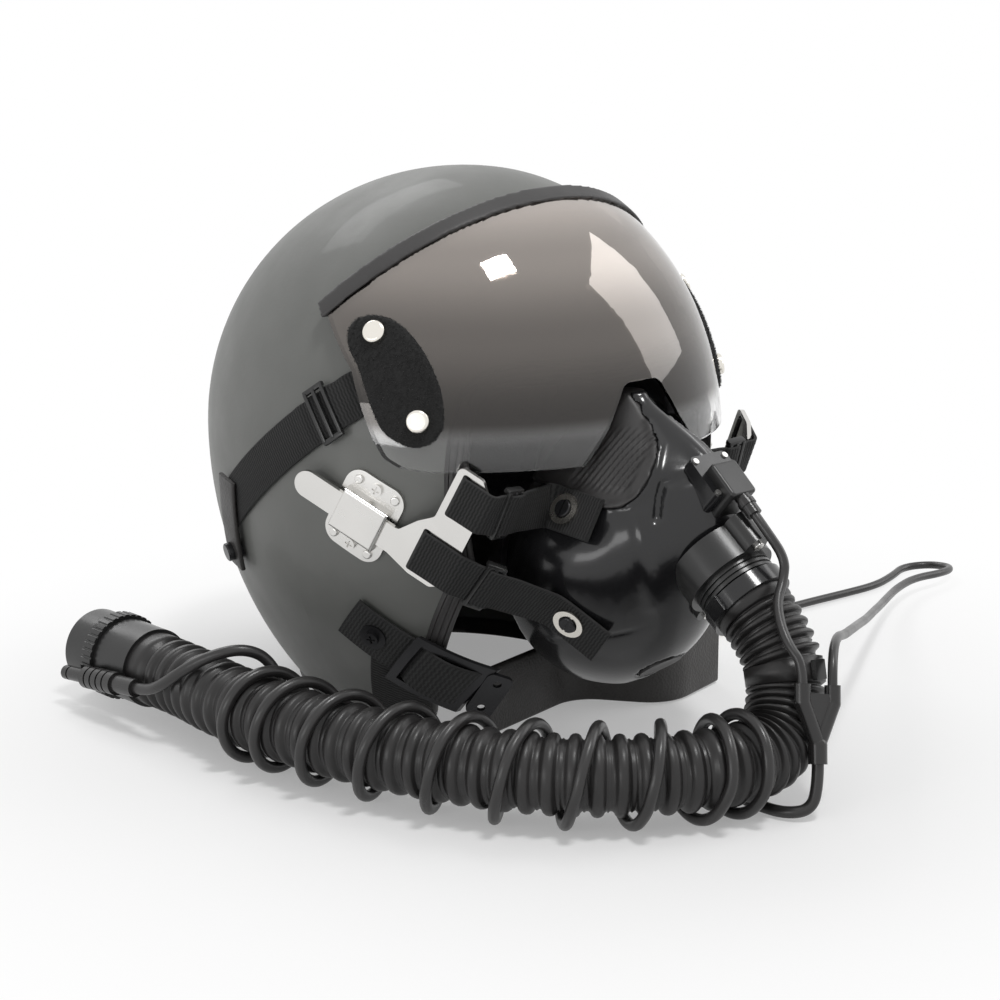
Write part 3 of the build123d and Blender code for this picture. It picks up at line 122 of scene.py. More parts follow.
# Rings of a patch as shares of its outline, with the share of its rise, and the raggedness of its edge
PATCH_RINGS = [
    (0.04, 0.0), (0.3, 0.0), (0.6, 0.0), (0.85, 0.0), (1.0, 0.0), (1.004, 0.4), (0.995, 0.8), (0.975, 1.0),
    (0.93, 1.0), (0.85, 1.0), (0.7, 1.0), (0.5, 1.0), (0.3, 1.0), (0.04, 1.0),
]
PATCH_ROUNDS, RAGGED_SHARE, RAGGED_SCALE, RAGGED_PLANE = 3, 0.012, 0.9, 3.0
# Fibres of a patch: how many on a square metre, the seed, radii at tip and root, and tilt
FIBRE_DENSITY, FIBRE_SEED, FIBRE_TIP, FIBRE_ROOT, FIBRE_TILT = 1200000.0, 7, 0.00006, 0.00016, (0.9, 0.9, 3.0)

# Lining: the fineness of its remeshed surfaces, and for each pad its node and how far it may swell
LINING_VOXEL, SPACER_VOXEL = 0.0035, 0.002
PADS = (("crown_cushion", "crown_pad", 0.004), ("nape_cushion", "nape_pad", 0.004),
        ("ear_cushions", "ear_seals", 0.0018))
PAD_SHRINK_SHARE, PAD_PRESSURE, PAD_FILL, SPACER_FILL = 0.4, 4.0, 0.7, 0.6

# Mask: each form's node, fineness and finish
MASK_FORMS = (("mask_form", "mask_shell", 0.0011, "gloss_shell"),
              ("mask_soft", "mask_facepiece", 0.0010, "soft_rubber"))
# Level, front, half width and depth of the mask as shares of the sizes
MASK_TOP, MASK_CHIN, MASK_REACH, MASK_HALF, MASK_DEPTH = 37.5, 105.0, 175.0, 50.0, 72.0
MASK_SHARES = [
    (0.00, 0.640, 0.26, 0.30), (0.07, 0.745, 0.56, 0.52), (0.17, 0.830, 0.81, 0.72),
    (0.31, 0.893, 0.97, 0.87), (0.47, 0.950, 1.00, 0.96), (0.62, 0.989, 0.88, 1.00),
    (0.74, 0.955, 0.67, 0.90), (0.82, 0.905, 0.50, 0.72), (0.90, 0.800, 0.33, 0.44),
    (0.96, 0.705, 0.22, 0.22), (1.00, 0.672, 0.13, 0.11),
]
UPPER_EYELET, LOWER_EYELET = (-111.0, -13.5), (-116.0, -64.0)
UPPER_TURN, LOWER_TURN = -3.0, -42.0
# Features of the mask's skin: reach, height and a line on the right side, about the dome's centre
MASK_FEATURES = [
    (2.6, -3.2, [(4.0, -160.0, 5.0), (12.0, -156.5, 4.0), (20.0, -151.0, 2.5), (24.0, -152.0, -3.0),
                 (27.0, -154.0, -11.0)]),
    (2.0, 1.7, [(9.0, -128.0, 25.0), (13.9, -139.8, 17.2), (19.6, -144.9, 8.2), (26.0, -144.9, -1.0),
                (31.6, -139.8, -6.5), (35.6, -131.0, -8.4), (37.5, -118.0, -8.0)]),
    (4.5, 1.6, [(31.8, -146.8, -11.0), (33.2, -150.4, -23.4), (30.2, -151.5, -40.1), (24.0, -148.0, -52.0)]),
    (13.0, 2.0, [(46.0, -96.0, -32.0), (44.0, -118.0, -40.0)]),
    (8.0, -1.8, [(42.0, -128.0, -20.0), (43.0, -112.0, -17.0)]),
    (1.4, -0.7, [(44.0, -100.0, -78.0), (38.0, -125.0, -72.0), (27.0, -146.0, -66.0), (15.0, -160.0, -60.0)]),
]
# Middle that the skin's moves point away from, and how much of each direction counts
MASK_MIDDLE, MASK_OUT_SHARES = (0.0, -105.0, -20.0), (1.0, 0.6, 0.25)
# Ridge of the nose and the hollow beside it: height and half width, and where they fade in upward and forward
NOSE_RISE, NOSE_HALF = 3.2, 4.5
HOLLOW_DEPTH, HOLLOW_PLACE, HOLLOW_HALF = 2.6, 11.0, 6.0
NOSE_UP, NOSE_FORWARD = (3.0, 9.0), (112.0, 16.0)
# Bellows: height, depth and spacing of the folds, their slope, and where they fade in on the four sides
BELLOWS_WAVE, BELLOWS_SINK, BELLOWS_PITCH, BELLOWS_SLOPE = 0.8, 1.2, 3.0, (0.92, 0.38)
BELLOWS_FRONT, BELLOWS_BACK = (104.0, 5.0), (-138.5, 3.0)
BELLOWS_LOW, BELLOWS_HIGH = (-4.0, 4.0), (-24.0, 5.0)

# Cords: control points of their routes
HOSE_ROUTE = [
    (0.0, -0.15703, 0.08470), (0.0, -0.18156, 0.06574), (-0.0035, -0.1895, 0.0410),
    (-0.022, -0.198, 0.0241), (-0.050, -0.1975, 0.0241), (-0.077, -0.185, 0.0241), (-0.102, -0.166, 0.0241),
    (-0.123, -0.139, 0.0241), (-0.138, -0.106, 0.0241), (-0.149, -0.072, 0.0241), (-0.1545, -0.035, 0.0241),
    (-0.1565, 0.001, 0.0241), (-0.1545, 0.034, 0.0236), (-0.1475, 0.062, 0.0219), (-0.1475, 0.093, 0.0219),
]
MIC_ROUTE = [
    (0.0, -0.16392, 0.12203), (0.0, -0.17057, 0.11627), (0.0035, -0.1795, 0.104), (-0.0005, -0.182, 0.095),
    (-0.0085, -0.1855, 0.088), (-0.013, -0.1915, 0.080), (-0.016, -0.1995, 0.072),
    (-0.01502, -0.20651, 0.06539), (-0.0173, -0.20879, 0.0572),
]
EAR_ROUTE = [
    (0.084, 0.0161, 0.0438), (0.084, 0.015, 0.033), (0.075, -0.002, 0.023), (0.060, -0.017, 0.0145),
    (0.051, -0.032, 0.0075), (0.060, -0.0435, 0.003), (0.079, -0.041, 0.0024), (0.098, -0.028, 0.0024),
    (0.120, -0.015, 0.0024), (0.143, -0.0065, 0.0032), (0.168, -0.005, 0.0032), (0.198, -0.007, 0.0024),
    (0.228, -0.008, 0.0024), (0.256, -0.0105, 0.0024), (0.282, -0.012, 0.0024), (0.305, -0.006, 0.0024),
    (0.324, 0.0015, 0.0026), (0.339, -0.0075, 0.0034), (0.337, -0.025, 0.0052), (0.319, -0.032, 0.007),
    (0.293, -0.031, 0.0086), (0.266, -0.040, 0.010), (0.238, -0.055, 0.013), (0.206, -0.075, 0.019),
    (0.172, -0.097, 0.027), (0.138, -0.120, 0.0355), (0.104, -0.142, 0.0445), (0.072, -0.163, 0.053),
    (0.044, -0.1815, 0.0605), (0.022, -0.195, 0.0675), (0.00212, -0.20919, 0.06608),
    (-0.0013, -0.21261, 0.0538),
]
LEAD_START = [
    (-0.0183, -0.2197, 0.0232), (-0.02026, -0.22166, 0.01617), (-0.025, -0.223, 0.005),
    (-0.033, -0.215, 0.0028),
]
LEAD_TAIL = [
    (-0.138, 0.013, 0.043), (-0.149, 0.018, 0.0496), (-0.1605, 0.027, 0.047), (-0.1695, 0.039, 0.0385),
    (-0.1736, 0.052, 0.0285), (-0.17391, 0.06341, 0.0235), (-0.1738, 0.072, 0.0226),
]
# Angles of the lead about the hose and how many millimetres along it they fall, where the hose is
# LEAD_TURNS_LENGTH long in metres
LEAD_TURNS = [
    (-180, 92.5), (90, 104.0), (450, 118.0), (810, 148.0), (1170, 175.5), (1530, 205.0), (1890, 234.5),
    (2250, 266.5), (2610, 297.0), (2970, 325.0), (3330, 346.5), (3510, 352.0),
]
LEAD_TURNS_LENGTH, LEAD_GAP = 0.4414, 0.0006
POINTS_PER_TURN = 16
# Hose along its length, in metres: plain ends with their rings, the clip's cuff and the end of the bend
HOSE_PLAIN, CUFF_FROM, CUFF_TO, BEND_END = 0.013, 0.0385, 0.0485, 0.094
FIRST_RINGS, LAST_RING, CUFF_EDGE, BEND_END_DEPTH = [0.0, 0.004, 0.008], 0.006, 0.0003, 0.9
HOSE_SIDES = 56
# One rib of the hose: shares of its pitch with the depth there
RIB_SHARES = (
    (0.06, 0.75), (0.12, 1.0), (0.2, 0.75), (0.27, 0.3), (0.36, 0.06), (0.5, -0.04),
    (0.64, 0.06), (0.73, 0.3), (0.80, 0.75), (0.88, 1.0), (0.97, 1.0),
)

# Webbing: a woven column and how far its ribs are shifted against the next, and coarser steps where plain
WEAVE_COLUMN, WEAVE_SHIFT, PLAIN_COLUMN, PLAIN_STEP = 0.0016, 1.1, 0.0025, 0.002
# Steps of a strap's rounded edges, the underside's shift on its map, and the painted light of faces without
# ribs, between the painted groove shade and crest highlight
STRAP_ROUNDING, UNDERSIDE_SHIFT, PLAIN_PAINTED_RIB_LIGHT = 6, 0.1, 0.6

# Lens between its lower and upper level: grey of the clear band, strength of the smoke and of the mirror
LENS_LOW, LENS_HIGH = 0.136, 0.256
LENS_CLEAR = ((0.0, 0.93), (0.10, 0.88))
LENS_SMOKE = ((0.20, 0.30), (0.50, 0.62), (0.78, 1.0), (1.0, 1.45))
LENS_MIRROR = ((0.0, 0.0), (0.10, 0.02), (0.20, 0.20), (0.50, 0.36), (0.78, 0.55), (1.0, 0.72))

# Stage: the camera, and for each lamp its size, power in watts, place and aim
CAMERA_PLACE, CAMERA_TILT, CAMERA_TURN = (-0.8223, -0.8786, 0.3989), 76, -43
LAMPS = (
    ("key", (0.5, 0.38), 24.0, (-0.1, -0.88, 2.5), (0, 0, 0.1)),
    ("fill", (1.2, 1.6), 12.0, (1.9, -0.9, 1.2), (0, 0, 0.1)),
    ("back", (1.4, 0.6), 11.0, (0.4, 1.6, 1.6), (0, 0, 0.15)),
    ("low", (0.8, 0.35), 3.0, (-1.5, -0.2, 0.35), (0, 0, 0.1)),
)
DIFFUSE_LIGHT = 0.38
# Floor: its half width and level, and the middle of the round patch that holds the shadow, fading outwards
FLOOR_REACH, FLOOR_LEVEL = 4.0, -0.0004
SHADOW_MIDDLE, SHADOW_FROM, SHADOW_TO, SHADOW_FILL = (-0.02, -0.06, 0.0), 0.16, 0.42, 0.30


def measure(name, description, default):
    """A length that can be changed, in metres."""
    return FloatProperty(name=name, description=description, default=default, unit="LENGTH")


class HelmetSizes(PropertyGroup):
    """Sizes that can change without the fit of the pieces."""
    webbing_width: measure("Mask webbing width", "Width of the mask straps", 0.021)
    webbing_thickness: measure("Webbing thickness", "Thickness of the mask straps", 0.0018)
    rib_pitch: measure("Webbing rib pitch", "Spacing of the woven ribs along a strap", 0.0016)
    rib_height: measure("Webbing rib height", "Height of the woven ribs", 0.00036)
    hose_radius: measure("Hose radius", "Outer radius of the hose over its ribs", 0.018)
    hose_groove: measure("Hose groove", "Depth of the grooves between the hose's ribs", 0.0028)
    hose_pitch: measure("Hose rib pitch", "Spacing of the ribs on the lying hose", 0.0098)
    bend_pitch: measure("Bend rib pitch", "Spacing of the ribs on the upright bend", 0.0056)
    lead_diameter: measure("Lead diameter", "Diameter of the lead that is wound round the hose", 0.0054)
    cable_diameter: measure("Cable diameter", "Diameter of the microphone and earphone cables", 0.0044)
    hook_length: measure("Hook length", "Length of the fibres on the hook patches", 0.0008)


def colour(name, description, value):
    """A colour that can be changed."""
    return FloatVectorProperty(name=name, description=description, subtype="COLOR", size=3, min=0.0, max=1.0,
                               default=value)


class HelmetColours(PropertyGroup):
    """Colours of the finishes."""
    paint: colour("Shell paint", "Colour of the dome", (0.138, 0.141, 0.133))
    rubber: colour("Rubber", "Colour of the hose and the mouldings", (0.022, 0.021, 0.021))
    gloss: colour("Gloss shell", "Colour of the mask's hard shell", (0.012, 0.012, 0.013))
    webbing: colour("Webbing", "Colour of the straps", (0.010, 0.010, 0.010))
    leather: colour("Leather", "Colour of the leather strips", (0.024, 0.022, 0.021))
    foam: colour("Foam", "Colour of the lining foam", (0.060, 0.060, 0.064))
    tint: colour("Visor tint", "Colour of the visor's smoke and its mirror coat", (0.46, 0.42, 0.39))
    nickel: colour("Nickel", "Colour of the snaps and eyelets", (0.80, 0.77, 0.71))
    steel: colour("Steel", "Colour of the bayonets and receivers", (0.68, 0.67, 0.65))
    sleeve: colour("Cable sleeve", "Colour of the sleeve on the earphone cable", (0.75, 0.52, 0.02))


# Geometry of the dome and of the mask


def dome(y, z, lift=0.0, side=-1):
    """A point of the dome and its outward normal, from millimetres about its centre."""
    reach = (FRONT if y < 0 else BACK) + lift
    rise = (TOP if z > 0 else BOTTOM) + lift
    wide = HALF_WIDTH + lift
    x = side * wide * sqrt(max(0.0, 1.0 - (y / reach) ** 2 - (z / rise) ** 2))
    normal = Vector((x / wide ** 2, y / reach ** 2, z / rise ** 2)).normalized()
    return Vector((x, DOME_Y + y, DOME_Z + z)) * MM, normal


def mask_ring(level):
    """Front, half width and depth of the mask at a level, on a smooth curve through its shares."""
    count = len(MASK_SHARES)
    first = max(i for i in range(count - 1) if MASK_SHARES[i][0] <= max(0.0, min(level, 0.9999)))
    before, low = MASK_SHARES[max(first - 1, 0)], MASK_SHARES[first]
    high, after = MASK_SHARES[first + 1], MASK_SHARES[min(first + 2, count - 1)]
    gap = high[0] - low[0]
    t = (level - low[0]) / gap
    out = []
    for k, size in ((1, MASK_REACH), (2, MASK_HALF), (3, MASK_DEPTH)):
        slope_low = (high[k] - before[k]) / (high[0] - before[0]) * gap
        slope_high = (after[k] - low[k]) / (after[0] - low[0]) * gap
        value = ((2 * t ** 3 - 3 * t ** 2 + 1) * low[k] + (t ** 3 - 2 * t ** 2 + t) * slope_low
                 + (3 * t ** 2 - 2 * t ** 3) * high[k] + (t ** 3 - t ** 2) * slope_high)
        out.append(value * size)
    return out


def mask_gauge(x, y, z):
    """Below 1 inside the mask and above 1 outside, in millimetres about the dome's centre."""
    front, half, deep = mask_ring((z + MASK_CHIN) / (MASK_TOP + MASK_CHIN))
    return hypot(x / half, (y + front - deep) / deep)


def mask_seat(y, z, lift):
    """A point on the mask's right side and its outward normal."""
    low, high = 0.0, MASK_HALF
    halvings, step = 30, 0.5
    for _ in range(halvings):
        middle = (low + high) / 2
        low, high = (middle, high) if mask_gauge(middle, y, z) < 1 else (low, middle)
    normal = Vector((-(mask_gauge(low + step, y, z) - mask_gauge(low - step, y, z)),
                     mask_gauge(low, y + step, z) - mask_gauge(low, y - step, z),
                     mask_gauge(low, y, z + step) - mask_gauge(low, y, z - step))).normalized()
    return Vector((-low, DOME_Y + y, DOME_Z + z)) * MM + normal * lift * MM, normal


def along(start, end, share):
    """A place on the straight line between two places."""
    return (start[0] + (end[0] - start[0]) * share, start[1] + (end[1] - start[1]) * share)


def mirrored(spot):
    """The same place or direction on the other side."""
    return Vector((-spot.x, spot.y, spot.z))


# Meshes


def smooth_faces(mesh):
    """Shades all the faces of a mesh smooth."""
    mesh.polygons.foreach_set("use_smooth", [True] * len(mesh.polygons))


def mesh_piece(name, points, faces, slot, sharp, body="helmet", uvs=None):
    """A smooth mesh object that rides on a body, with a UV for each face corner."""
    mesh = bpy.data.meshes.new(name)
    mesh.from_pydata([tuple(point) for point in points], [], faces)
    smooth_faces(mesh)
    if uvs is not None:
        layer = mesh.uv_layers.new(name="across")
        for loop in mesh.loops:
            layer.data[loop.index].uv = uvs[loop.vertex_index]
    mesh.update()
    mesh.set_sharp_from_angle(angle=radians(sharp))
    piece = bpy.data.objects.new(name, mesh)
    bpy.context.scene.collection.objects.link(piece)
    mesh.materials.append(FINISHES[slot])
    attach(piece, body)
    return piece


def turn_faces_out(piece, merge=False):
    """Points the faces of a closed mesh outwards, with its doubles merged first where asked."""
    work = bmesh.new()
    work.from_mesh(piece.data)
    if merge:
        bmesh.ops.remove_doubles(work, verts=work.verts, dist=1e-7)
    bmesh.ops.recalc_face_normals(work, faces=work.faces)
    work.to_mesh(piece.data)
    work.free()


def loft_mesh(name, rings, slot, sharp, body="helmet", uvs=None, closed=False):
    """Skins rings of points that have the same count; the ends are capped unless closed."""
    count = len(rings[0])
    points = [point for ring in rings for point in ring]
    faces = []
    for i in range(len(rings) if closed else len(rings) - 1):
        j = (i + 1) % len(rings)
        for k in range(count):
            m = (k + 1) % count
            faces.append((i * count + k, i * count + m, j * count + m, j * count + k))
    if not closed:
        faces.append(tuple(range(count)))
        faces.append(tuple((len(rings) - 1) * count + k for k in reversed(range(count))))
    piece = mesh_piece(name, points, faces, slot, sharp, body, uvs)
    turn_faces_out(piece)
    return piece


def ribbon(name, place, length, width, thickness, slot, body="helmet", weave=0.0, pitch=0.0):
    """A strap: place(s, t) gives its middle surface and normal, with s along it and t across, in metres."""
    rows = max(2, int(length / (pitch / 4 if weave else PLAIN_STEP)) + 1)
    cells = max(4, int(width / (WEAVE_COLUMN / 2 if weave else PLAIN_COLUMN)))
    half, flat = thickness / 2, width - thickness
    profile = [(-flat / 2 + flat * k / cells, half, 1) for k in range(cells + 1)]
    profile += [(flat / 2 + half * sin(pi * k / STRAP_ROUNDING), half * cos(pi * k / STRAP_ROUNDING), 0)
                for k in range(1, STRAP_ROUNDING)]
    profile += [(flat / 2 - flat * k / cells, -half, -1) for k in range(cells + 1)]
    profile += [(-flat / 2 - half * sin(pi * k / STRAP_ROUNDING), -half * cos(pi * k / STRAP_ROUNDING), 0)
                for k in range(1, STRAP_ROUNDING)]
    rings, uvs, crests = [], [], []
    for row in range(rows):
        s = length * row / (rows - 1)
        ring = []
        for t, height, face in profile:
            # Crest share of each point: it raises the woven ribs and is stored to set the painted shade in
            # the grooves and painted highlight on the crests
            crest = PLAIN_PAINTED_RIB_LIGHT
            if weave and face:
                phase = WEAVE_SHIFT * (floor((t + width / 2) / WEAVE_COLUMN) % 2)
                crest = 0.5 + 0.5 * cos(2 * pi * s / pitch + phase)
                height += face * weave * crest - face * weave
            point, normal = place(s, t)
            ring.append(point + normal * height)
            uvs.append((t + (UNDERSIDE_SHIFT if face < 0 else 0.0), s))
            crests.append(crest)
        rings.append(ring)
    strap = loft_mesh(name, rings, slot, sharp=50.0, body=body, uvs=uvs)
    # Stored crest shares, read by the webbing's finish for its painted shade and painted highlight
    strap.data.attributes.new("crest", "FLOAT", "POINT").data.foreach_set("value", crests)
    return strap


def strip_place(start, end, lift, side, begin=0.0):
    """Points of a straight strip on the dome, seen from the side."""
    run_y, run_z = end[0] - start[0], end[1] - start[1]
    length = hypot(run_y, run_z)
    run_y, run_z = run_y / length, run_z / length

    def place(s, t):
        s, t = s / MM + begin, t / MM
        return dome(start[0] + run_y * s - run_z * t, start[1] + run_z * s + run_y * t, lift, side)
    return place, length * MM


def shell_strap(name, strap, side, slot, overrun=0.0, **weave):
    """A straight strap on the dome; an overrun lengthens it before its start."""
    start, end, lift, width, thickness = strap
    place, length = strip_place(start, end, lift, side, begin=-overrun)
    return ribbon(name, place, length + overrun * MM, width, thickness, slot, **weave)


def soft_copy(name, node, voxel, slot, smooth, body="helmet", shrink=0.0):
    """A remeshed, softened copy of a node's solid that stands for it."""
    work = bmesh.new()
    work.from_mesh(frame["nodes"][node].data)
    bmesh.ops.remove_doubles(work, verts=work.verts, dist=1e-6)
    mesh = bpy.data.meshes.new(name)
    work.to_mesh(mesh)
    work.free()
    piece = bpy.data.objects.new(name, mesh)
    bpy.context.scene.collection.objects.link(piece)
    remesh = piece.modifiers.new("remesh", "REMESH")
    remesh.mode = "VOXEL"
    remesh.voxel_size = voxel
    soften = piece.modifiers.new("smooth", "SMOOTH")
    soften.factor = 0.5
    soften.iterations = smooth
    if shrink:
        draw_in = piece.modifiers.new("shrink", "DISPLACE")
        draw_in.strength = -shrink
        draw_in.mid_level = 0.0
    bake_modifiers(piece)
    smooth_faces(piece.data)
    piece.data.materials.clear()
    piece.data.materials.append(FINISHES[slot])
    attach(piece, body)
    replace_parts(piece, node)
    return piece


def bake_modifiers(piece):
    """Turns a piece with its modifiers into a plain mesh."""
    bpy.context.view_layer.update()
    graph = bpy.context.evaluated_depsgraph_get()
    mesh = bpy.data.meshes.new_from_object(piece.evaluated_get(graph))
    old = piece.data
    piece.modifiers.clear()
    piece.data = mesh
    if old.users == 0:
        bpy.data.meshes.remove(old)


def inflate(piece, pressure, cap):
    """A cloth pass that swells a pad, each point held within cap of where it was."""
    rest = [vertex.co.copy() for vertex in piece.data.vertices]
    cloth = piece.modifiers.new("cloth", "CLOTH")
    cloth.settings.use_pressure = True
    cloth.settings.uniform_pressure_force = pressure
    cloth.settings.effector_weights.gravity = 0.0
    cloth.settings.quality = 5
    cloth.settings.tension_stiffness = 12.0
    cloth.settings.compression_stiffness = 12.0
    scene = bpy.context.scene
    for step in range(1, 15):
        scene.frame_set(step)
    bake_modifiers(piece)
    scene.frame_set(1)
    for vertex, home in zip(piece.data.vertices, rest):
        move = vertex.co - home
        if move.length > cap:
            vertex.co = home + move * (cap / move.length)
    piece.data.update()


# Finishes


def put(tree, kind, settings=None, **inputs):
    """A new node with its settings, and its inputs set or linked."""
    node = tree.nodes.new(kind)
    for name, value in (settings or {}).items():
        setattr(node, name, value)
    fill(tree, node, **inputs)
    return node


def fill(tree, node, **inputs):
    """Sets or links a node's inputs, whose names have underscores here instead of spaces."""
    for name, value in inputs.items():
        socket = node.inputs[name.replace("_", " ")]
        if isinstance(value, bpy.types.NodeSocket):
            tree.links.new(value, socket)
        else:
            socket.default_value = value


def colour_ramp(tree, factor, stops, interpolation="LINEAR"):
    """Colours between the given ones at their places."""
    ramp = put(tree, "ShaderNodeValToRGB", Fac=factor)
    bar = ramp.color_ramp
    bar.interpolation = interpolation
    while len(bar.elements) < len(stops):
        bar.elements.new(0.5)
    for element, (place, value) in zip(bar.elements, stops):
        element.position = place
        element.color = (*value, 1.0)
    return ramp.outputs["Color"]


def shade(base, factor):
    """A colour made darker or lighter."""
    return tuple(channel * factor for channel in base)


def shade_within(base, factor):
    """The same, with no channel over 1."""
    return tuple(min(1.0, channel) for channel in shade(base, factor))


def finish(name, base, rough, metallic=0.0, coat=0.0, variation=0.0, grains=(), spread=0.0, specular=0.5,
           sheen=0.0, transmission=0.0, ior=1.5, crest=0.0):
    """A procedural material: colour variation, painted shade and highlight by rib crest, roughness spread and
    bumps from object-space grain.
    """
    material = bpy.data.materials.new(name)
    material.use_nodes = True
    tree = material.node_tree
    shader = tree.nodes["Principled BSDF"]
    fill(tree, shader, Roughness=rough, Metallic=metallic, Specular_IOR_Level=specular, Coat_Weight=coat,
         Coat_Roughness=0.06, Sheen_Weight=sheen, Sheen_Roughness=0.5, Transmission_Weight=transmission,
         IOR=ior, Base_Color=(*base, 1.0))
    place = tree.nodes.new("ShaderNodeTexCoord").outputs["Object"]
    if variation:
        mottle = put(tree, "ShaderNodeTexNoise", Scale=18.0, Detail=6.0, Vector=place)
        fill(tree, shader, Base_Color=colour_ramp(tree, mottle.outputs["Fac"], (
            (0.3, shade(base, 1 - variation)), (0.7, shade_within(base, 1 + variation)))))
    # Painted shade in the grooves of the webbing's ribs and painted highlight on their crests, from the crest
    # share on the points
    if crest:
        ribs = put(tree, "ShaderNodeAttribute", {"attribute_name": "crest"})
        fill(tree, shader, Base_Color=colour_ramp(tree, ribs.outputs["Fac"], (
            (0.15, shade(base, 1 - crest)), (1.0, shade_within(base, 1 + crest * 2.4)))))
    if spread:
        smear = put(tree, "ShaderNodeTexNoise", Scale=45.0, Detail=5.0, Vector=place)
        level = put(tree, "ShaderNodeMapRange", Value=smear.outputs["Fac"], From_Min=0.3, From_Max=0.7,
                    To_Min=max(0.0, rough - spread), To_Max=min(1.0, rough + spread))
        fill(tree, shader, Roughness=level.outputs["Result"])
    bump = None
    for kind, scale, distance in grains:
        if kind == "cells":
            height = put(tree, "ShaderNodeTexVoronoi", Scale=scale, Vector=place).outputs["Distance"]
        elif kind == "noise":
            height = put(tree, "ShaderNodeTexNoise", Scale=scale, Detail=4.0, Vector=place).outputs["Fac"]
        else:
            across = put(tree, "ShaderNodeUVMap", {"uv_map": "across"}).outputs["UV"]
            height = put(tree, "ShaderNodeTexWave", {"bands_direction": "X"}, Scale=scale, Distortion=1.5,
                         Vector=across).outputs["Fac"]
        under = bump
        bump = put(tree, "ShaderNodeBump", Strength=1.0, Distance=distance, Height=height)
        if under:
            fill(tree, bump, Normal=under.outputs["Normal"])
    if bump:
        fill(tree, shader, Normal=bump.outputs["Normal"])
    return material


FINISHES = {}


def make_finishes(colours):
    """Makes the material of each slot; a grain is its kind, its scale and its height."""
    rubber, webbing, steel = tuple(colours.rubber), tuple(colours.webbing), tuple(colours.steel)

    def make(name, base, rough, **more):
        FINISHES[name] = finish(name, base, rough, **more)
    make("shell_paint", tuple(colours.paint), 0.52, coat=0.10, variation=0.07, spread=0.05,
         grains=(("noise", 1400.0, 0.00006), ("noise", 260.0, 0.00005)))
    make("black_rubber", rubber, 0.36, variation=0.18, spread=0.08, specular=0.4,
         grains=(("noise", 900.0, 0.00005),))
    make("soft_rubber", shade(rubber, 1.5), 0.5, variation=0.15, spread=0.08,
         grains=(("noise", 700.0, 0.00006),))
    make("gloss_rubber", shade(rubber, 0.8), 0.22, variation=0.1, spread=0.05,
         grains=(("noise", 300.0, 0.00002),))
    make("cable_rubber", rubber, 0.33, variation=0.12, spread=0.06, grains=(("noise", 500.0, 0.00003),))
    make("grey_foam", tuple(colours.foam), 0.95, variation=0.2, sheen=0.1,
         grains=(("cells", 900.0, 0.0003), ("noise", 220.0, 0.0003)))
    make("black_leather", tuple(colours.leather), 0.5, variation=0.22, spread=0.08,
         grains=(("cells", 750.0, 0.00016), ("noise", 160.0, 0.00012)))
    # Webbing with painted shade in its rib grooves and painted highlight on its rib crests
    make("black_webbing", webbing, 0.66, sheen=0.03, crest=0.85, specular=0.35,
         grains=(("streaks", 900.0, 0.00010), ("noise", 1500.0, 0.00006)))
    make("hook_fabric", shade(webbing, 0.8), 0.95, sheen=0.12, variation=0.3,
         grains=(("noise", 900.0, 0.0004), ("cells", 500.0, 0.0003)))
    make("black_plastic", (0.016, 0.016, 0.016), 0.3, variation=0.08, spread=0.05,
         grains=(("noise", 600.0, 0.00003),))
    make("gloss_shell", tuple(colours.gloss), 0.19, coat=0.2, variation=0.1, spread=0.05, specular=0.42,
         grains=(("noise", 60.0, 0.00006), ("noise", 900.0, 0.00002)))
    FINISHES["dark_visor"] = visor_finish("dark_visor", tuple(colours.tint))
    make("black_steel", (0.03, 0.03, 0.032), 0.3, metallic=0.7, spread=0.08, variation=0.15,
         grains=(("noise", 400.0, 0.00003),))
    make("yellow_sleeve", tuple(colours.sleeve), 0.4, variation=0.08)
    make("satin_steel", steel, 0.3, metallic=1.0, spread=0.1, variation=0.06,
         grains=(("noise", 240.0, 0.00003),))
    make("bright_steel", steel, 0.16, metallic=1.0, spread=0.07, variation=0.05,
         grains=(("noise", 160.0, 0.00003),))
    make("nickel", tuple(colours.nickel), 0.24, metallic=1.0, spread=0.08, variation=0.08,
         grains=(("noise", 200.0, 0.00004),))


def visor_finish(name, tint):
    """A mirror coat over smoke that thins out to clear plastic at the lower edge of the lens."""
    material = finish(name, tint, 0.03, transmission=1.0, ior=1.45)
    tree = material.node_tree
    place = put(tree, "ShaderNodeSeparateXYZ", Vector=tree.nodes["Texture Coordinate"].outputs["Object"])
    level = put(tree, "ShaderNodeMapRange", Value=place.outputs["Z"], From_Min=LENS_LOW, From_Max=LENS_HIGH)
    smoke = [(share, (grey,) * 3) for share, grey in LENS_CLEAR]
    smoke += [(share, shade(tint, strength)) for share, strength in LENS_SMOKE]
    mirror = [(share, (strength,) * 3) for share, strength in LENS_MIRROR]
    fill(tree, tree.nodes["Principled BSDF"],
         Base_Color=colour_ramp(tree, level.outputs["Result"], smoke, "EASE"),
         Metallic=colour_ramp(tree, level.outputs["Result"], mirror, "EASE"))
    return material


# Operators


